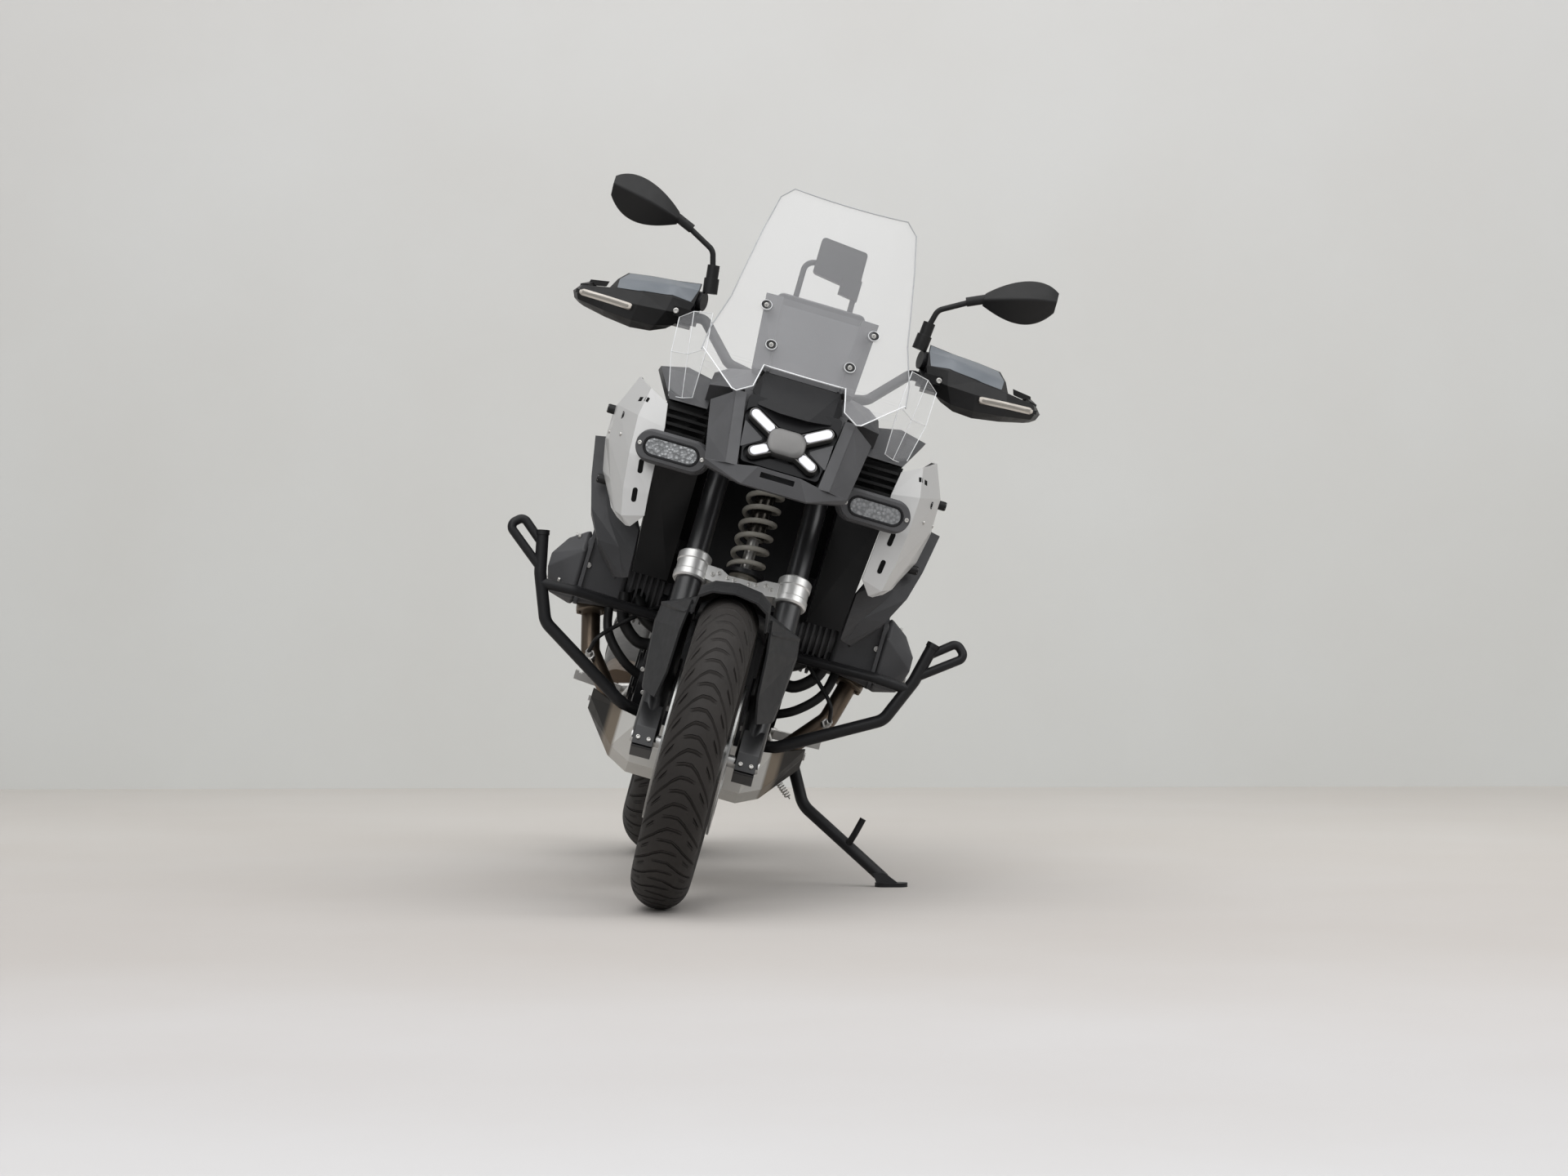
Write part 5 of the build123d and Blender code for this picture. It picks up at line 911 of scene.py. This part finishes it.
def trim():
    """Filler cap, tail light's lens, and the silencer's end cap and dark skin."""
    at = landed(("fuel_tank",), "frame", (0, -190, 1400), (0, 0, -1))
    if at is not None:
        cap = [(34, -3), (34, 3), (31, 5), (24, 5.4), (23, 4.2), (8, 4.6)]
        piece("tank_cap", *spun(cap, 32), "frame", "frame_black", "powder_black", 35, Matrix.Translation(at))
    rear = local((0, 843.5, 0), (-1, 0, 0), (0, 1, 0))
    lens = [(-69, 901), (69, 901), (61.5, 927), (-61.5, 927)]
    piece("tail_lens", *slab(lens, -1, 2.4, 1.4), "frame", "lamp_clear", "lamp_red", 35, rear)
    end = REAR_AXLE.y - REAR_TYRE["radius"] - COLLECTOR_GAP
    mouth, tail = Vector((-172, end + 100, 350)), Vector((-176, end + 500, 470))
    stand = local(tail, (1, 0, 0), (0, 0.966, 0.259))
    length = (tail - mouth).length
    rings = can_rings(length, ((-52, 0.8), (-50, 1.6), (-4, 1.8), (1.5, -2.0), (1.5, -12.0)))
    piece("silencer_cap", *ringed(rings), "frame", "frame_black", "powder_black", 35, stand)
    verts, faces = ringed(can_rings(length, ((-340, 0.2), (-338, 0.7), (-60, 0.7), (-58, 0.2))))
    far = stand.inverted() @ mouth
    verts = [(x + far.x / far.z * z, y + far.y / far.z * z, z) for x, y, z in verts]
    piece("silencer_skin", verts, faces, "frame", "stainless", "silencer_steel", 35, stand)


# ---- seats
COVER_VOXEL, COVER_INSET, COVER_MOVE = 0.006, 0.0025, 0.005       # metres
CLOTH_FRAMES, CLOTH_PRESSURE = 20, 4.0


def seat(name, slot_look, fill):
    """Padded seat from its solid: rounded off, then blown up a little by its cloth cover."""
    node = NODES[name]
    obj = new_object(f"{name}_cover", node.data.copy())
    obj.matrix_world = node.matrix_world.copy()
    mod = obj.modifiers.new("remesh", "REMESH")
    mod.mode, mod.voxel_size, mod.use_smooth_shade = "VOXEL", COVER_VOXEL, True
    apply_all(obj)
    shape = bmesh.new()
    shape.from_mesh(obj.data)
    for _ in range(4):
        bmesh.ops.smooth_vert(shape, verts=shape.verts, factor=0.5, use_axis_x=True, use_axis_y=True,
                              use_axis_z=True)
    shape.normal_update()
    for v in shape.verts:
        v.co -= v.normal * COVER_INSET
    shape.to_mesh(obj.data)
    shape.free()
    start = [v.co.copy() for v in obj.data.vertices]
    cloth = obj.modifiers.new("cloth", "CLOTH")
    s = cloth.settings
    s.quality, s.mass = 4, 0.3
    s.tension_stiffness = s.compression_stiffness = 25
    s.shear_stiffness, s.bending_stiffness = 15, 4
    s.use_pressure, s.uniform_pressure_force = True, CLOTH_PRESSURE
    s.effector_weights.gravity = 0
    cloth.point_cache.frame_start, cloth.point_cache.frame_end = 1, CLOTH_FRAMES
    scene = bpy.context.scene
    for number in range(1, CLOTH_FRAMES + 1):
        scene.frame_set(number)
    apply_all(obj)
    scene.frame_set(1)
    for v, first in zip(obj.data.vertices, start):
        moved = v.co - first
        if moved.length > COVER_MOVE:
            v.co = first + moved * (COVER_MOVE / moved.length)
    finish_piece(obj, "frame", MATERIALS[slot_look], 60.0)
    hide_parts(name)
    return obj


WELT_AT, STITCH_AT = 0.80, 0.72                   # shares of the seat's half width


def piping(name):
    """Welts along both upper edges of a seat and the row of stitches inside them."""
    def under(x, y):
        return landed((name,), "frame", (x, y, 1300), (0, 0, -1))

    welts, stitches = [], []
    ys = [at.y for at in (under(0, y) for y in range(-400, 1000, 10)) if at is not None]
    if not ys:
        return
    for side in (1, -1):
        for share, into in ((WELT_AT, welts), (STITCH_AT, stitches)):
            line = []
            for k in range(41):
                y = ys[0] + 12 + (ys[-1] - ys[0] - 24) * k / 40
                wide = [x for x in range(4, 260, 6) if under(side * x, y) is not None]
                at = wide and under(side * share * wide[-1], y)
                if at:
                    line.append(at + Vector((0, 0, 0.6)))
            into.append(line)
    piece(f"{name}_welts", *merged([(*tube(curve(line[::4], 4), 2.2, 8), SAME) for line in welts]),
          "frame", "seat_cover", "seat_welt")
    threads = []
    for line in stitches:
        line = curve(line, 3)
        threads += [(*tube(line[k:k + 3], 0.9, 5), SAME) for k in range(0, len(line) - 3, 4)]
    piece(f"{name}_stitches", *merged(threads), "frame", "seat_cover", "seat_thread")


def apply_all(obj):
    """Bakes an object's modifiers into its mesh."""
    graph = bpy.context.evaluated_depsgraph_get()
    done = bpy.data.meshes.new_from_object(obj.evaluated_get(graph))
    obj.modifiers.clear()
    obj.data = done


def seats():
    """Both seats' covers, then their welts and stitches."""
    seat("seat_rider", "seat_vinyl", 0.9)
    seat("seat_pillion", "seat_vinyl", 0.9)
    piping("seat_rider")
    piping("seat_pillion")


# ---- stage
WALL_Y, FLOOR_SIZE = 3.27, 60.0


def plain(name, *stops):
    """Pale floor or wall whose tone drifts gently along one axis, through (place, colour) stops; the drift is
    painted light.
    """
    mat, tree, shader = node_tree(name)
    link = tree.links.new
    shader.inputs["Specular IOR Level"].default_value = 0.2
    shader.inputs["Roughness"].default_value = 0.9
    coords = add(tree, "TexCoord").outputs["Object"]
    parts = add(tree, "SeparateXYZ")
    link(coords, parts.inputs[0])
    wide = stops[0][1]
    for (start, _), (end, colour) in zip(stops, stops[1:]):
        light_drift = ranged(tree, parts.outputs["Y" if name == "floor" else "Z"], start, end, kind="SMOOTHSTEP")
        wide = blended(tree, light_drift, wide, colour)
    speck = add(tree, "Mix", data_type="RGBA", blend_type="MULTIPLY")
    speck.inputs["Factor"].default_value = 1.0
    link(wide, speck.inputs[6])
    mottle = spread(tree, noise(tree, 1.3, 8.0), 0.0, 1.0)
    link(blended(tree, mottle, (0.965, 0.955, 0.945), (1, 1, 1)), speck.inputs[7])
    link(speck.outputs[2], shader.inputs["Base Color"])
    if name == "backdrop":       # a view from behind looks through the wall's back
        behind = add(tree, "Math", operation="MULTIPLY")
        link(add(tree, "NewGeometry").outputs["Backfacing"], behind.inputs[0])
        link(add(tree, "LightPath").outputs["Is Camera Ray"], behind.inputs[1])
        mix = add(tree, "MixShader")
        link(behind.outputs[0], mix.inputs[0])
        link(shader.outputs[0], mix.inputs[1])
        link(add(tree, "BsdfTransparent").outputs[0], mix.inputs[2])
        link(mix.outputs[0], tree.nodes["Material Output"].inputs[0])
    return mat


def stage():
    """Floor and wall, which aren't part of the object."""
    s = FLOOR_SIZE / 2
    # painted light: the floor lighter towards the camera and darkest just in front of the machine, the wall a
    # little lighter higher up
    for name, corners, *stops in (
        ("floor", [(-s, -s, 0), (s, -s, 0), (s, WALL_Y, 0), (-s, WALL_Y, 0)],
         (-5.2, (0.69, 0.685, 0.69)), (-3.2, (0.56, 0.545, 0.54)), (-1.6, (0.50, 0.475, 0.455)),
         (1.6, (0.585, 0.56, 0.53))),
        ("backdrop", [(-s, WALL_Y, 0), (s, WALL_Y, 0), (s, WALL_Y, s), (-s, WALL_Y, s)],
         (0.0, (0.62, 0.625, 0.61)), (3.5, (0.655, 0.65, 0.64))),
    ):
        mesh = bpy.data.meshes.new(name)
        mesh.from_pydata(corners, [], [(0, 1, 2, 3)])
        mesh.materials.append(plain(name, *stops))
        obj = new_object(name, mesh)


def light(name, place, target, size, power):
    """A soft rectangular lamp aimed at the target."""
    data = bpy.data.lights.new(name, "AREA")
    data.shape, data.size, data.size_y = "RECTANGLE", size[0], size[1]
    data.energy = power
    obj = new_object(name, data)
    obj.location = place
    obj.rotation_euler = (Vector(target) - Vector(place)).to_track_quat("-Z", "Y").to_euler()


def lights():
    """Three large soft lamps and a pale world."""
    light("overhead", (0, -1.5, 5.2), (0, 0, 0.6), (7, 7), 270)
    light("front", (-2.5, -7.5, 4.2), (0, 0, 0.7), (5, 3), 120)
    light("side", (4.6, -3.0, 3.4), (0, 0, 0.7), (3, 3), 70)
    world = bpy.data.worlds.new("world")
    bpy.context.scene.world = world
    world.use_nodes = True
    background = world.node_tree.nodes["Background"]
    background.inputs["Color"].default_value = (0.92, 0.94, 0.96, 1)
    background.inputs["Strength"].default_value = 0.55


# the photograph's viewpoint: metres, degrees and millimetres
CAMERA_PLACE, CAMERA_TURN, CAMERA_LENS = (-0.3076, -9.3186, 0.750), (89.293, 0, -2.0), 97.2


def camera():
    """The photograph's camera and the plain view transform."""
    data = bpy.data.cameras.new("camera")
    data.lens, data.sensor_width = CAMERA_LENS, 36.0
    data.clip_end = 200.0
    obj = new_object("camera", data)
    obj.location = CAMERA_PLACE
    obj.rotation_euler = [math.radians(angle) for angle in CAMERA_TURN]
    bpy.context.scene.camera = obj
    bpy.context.scene.view_settings.view_transform = "Standard"


bpy.context.view_layer.update()
dress()
tyre_piece("front_tyre_tread", TREADS["front"], "front_tyre", FRONT_AXLE, "front_wheel")
tyre_piece("rear_tyre_tread", TREADS["rear"], "rear_tyre", REAR_AXLE, "rear_wheel")
lamp()
aux_lights()
screen_edges()
controls()
panels()
front_end()
engine_side()
all_bolts()
trim()
seats()
stage()
lights()
camera()
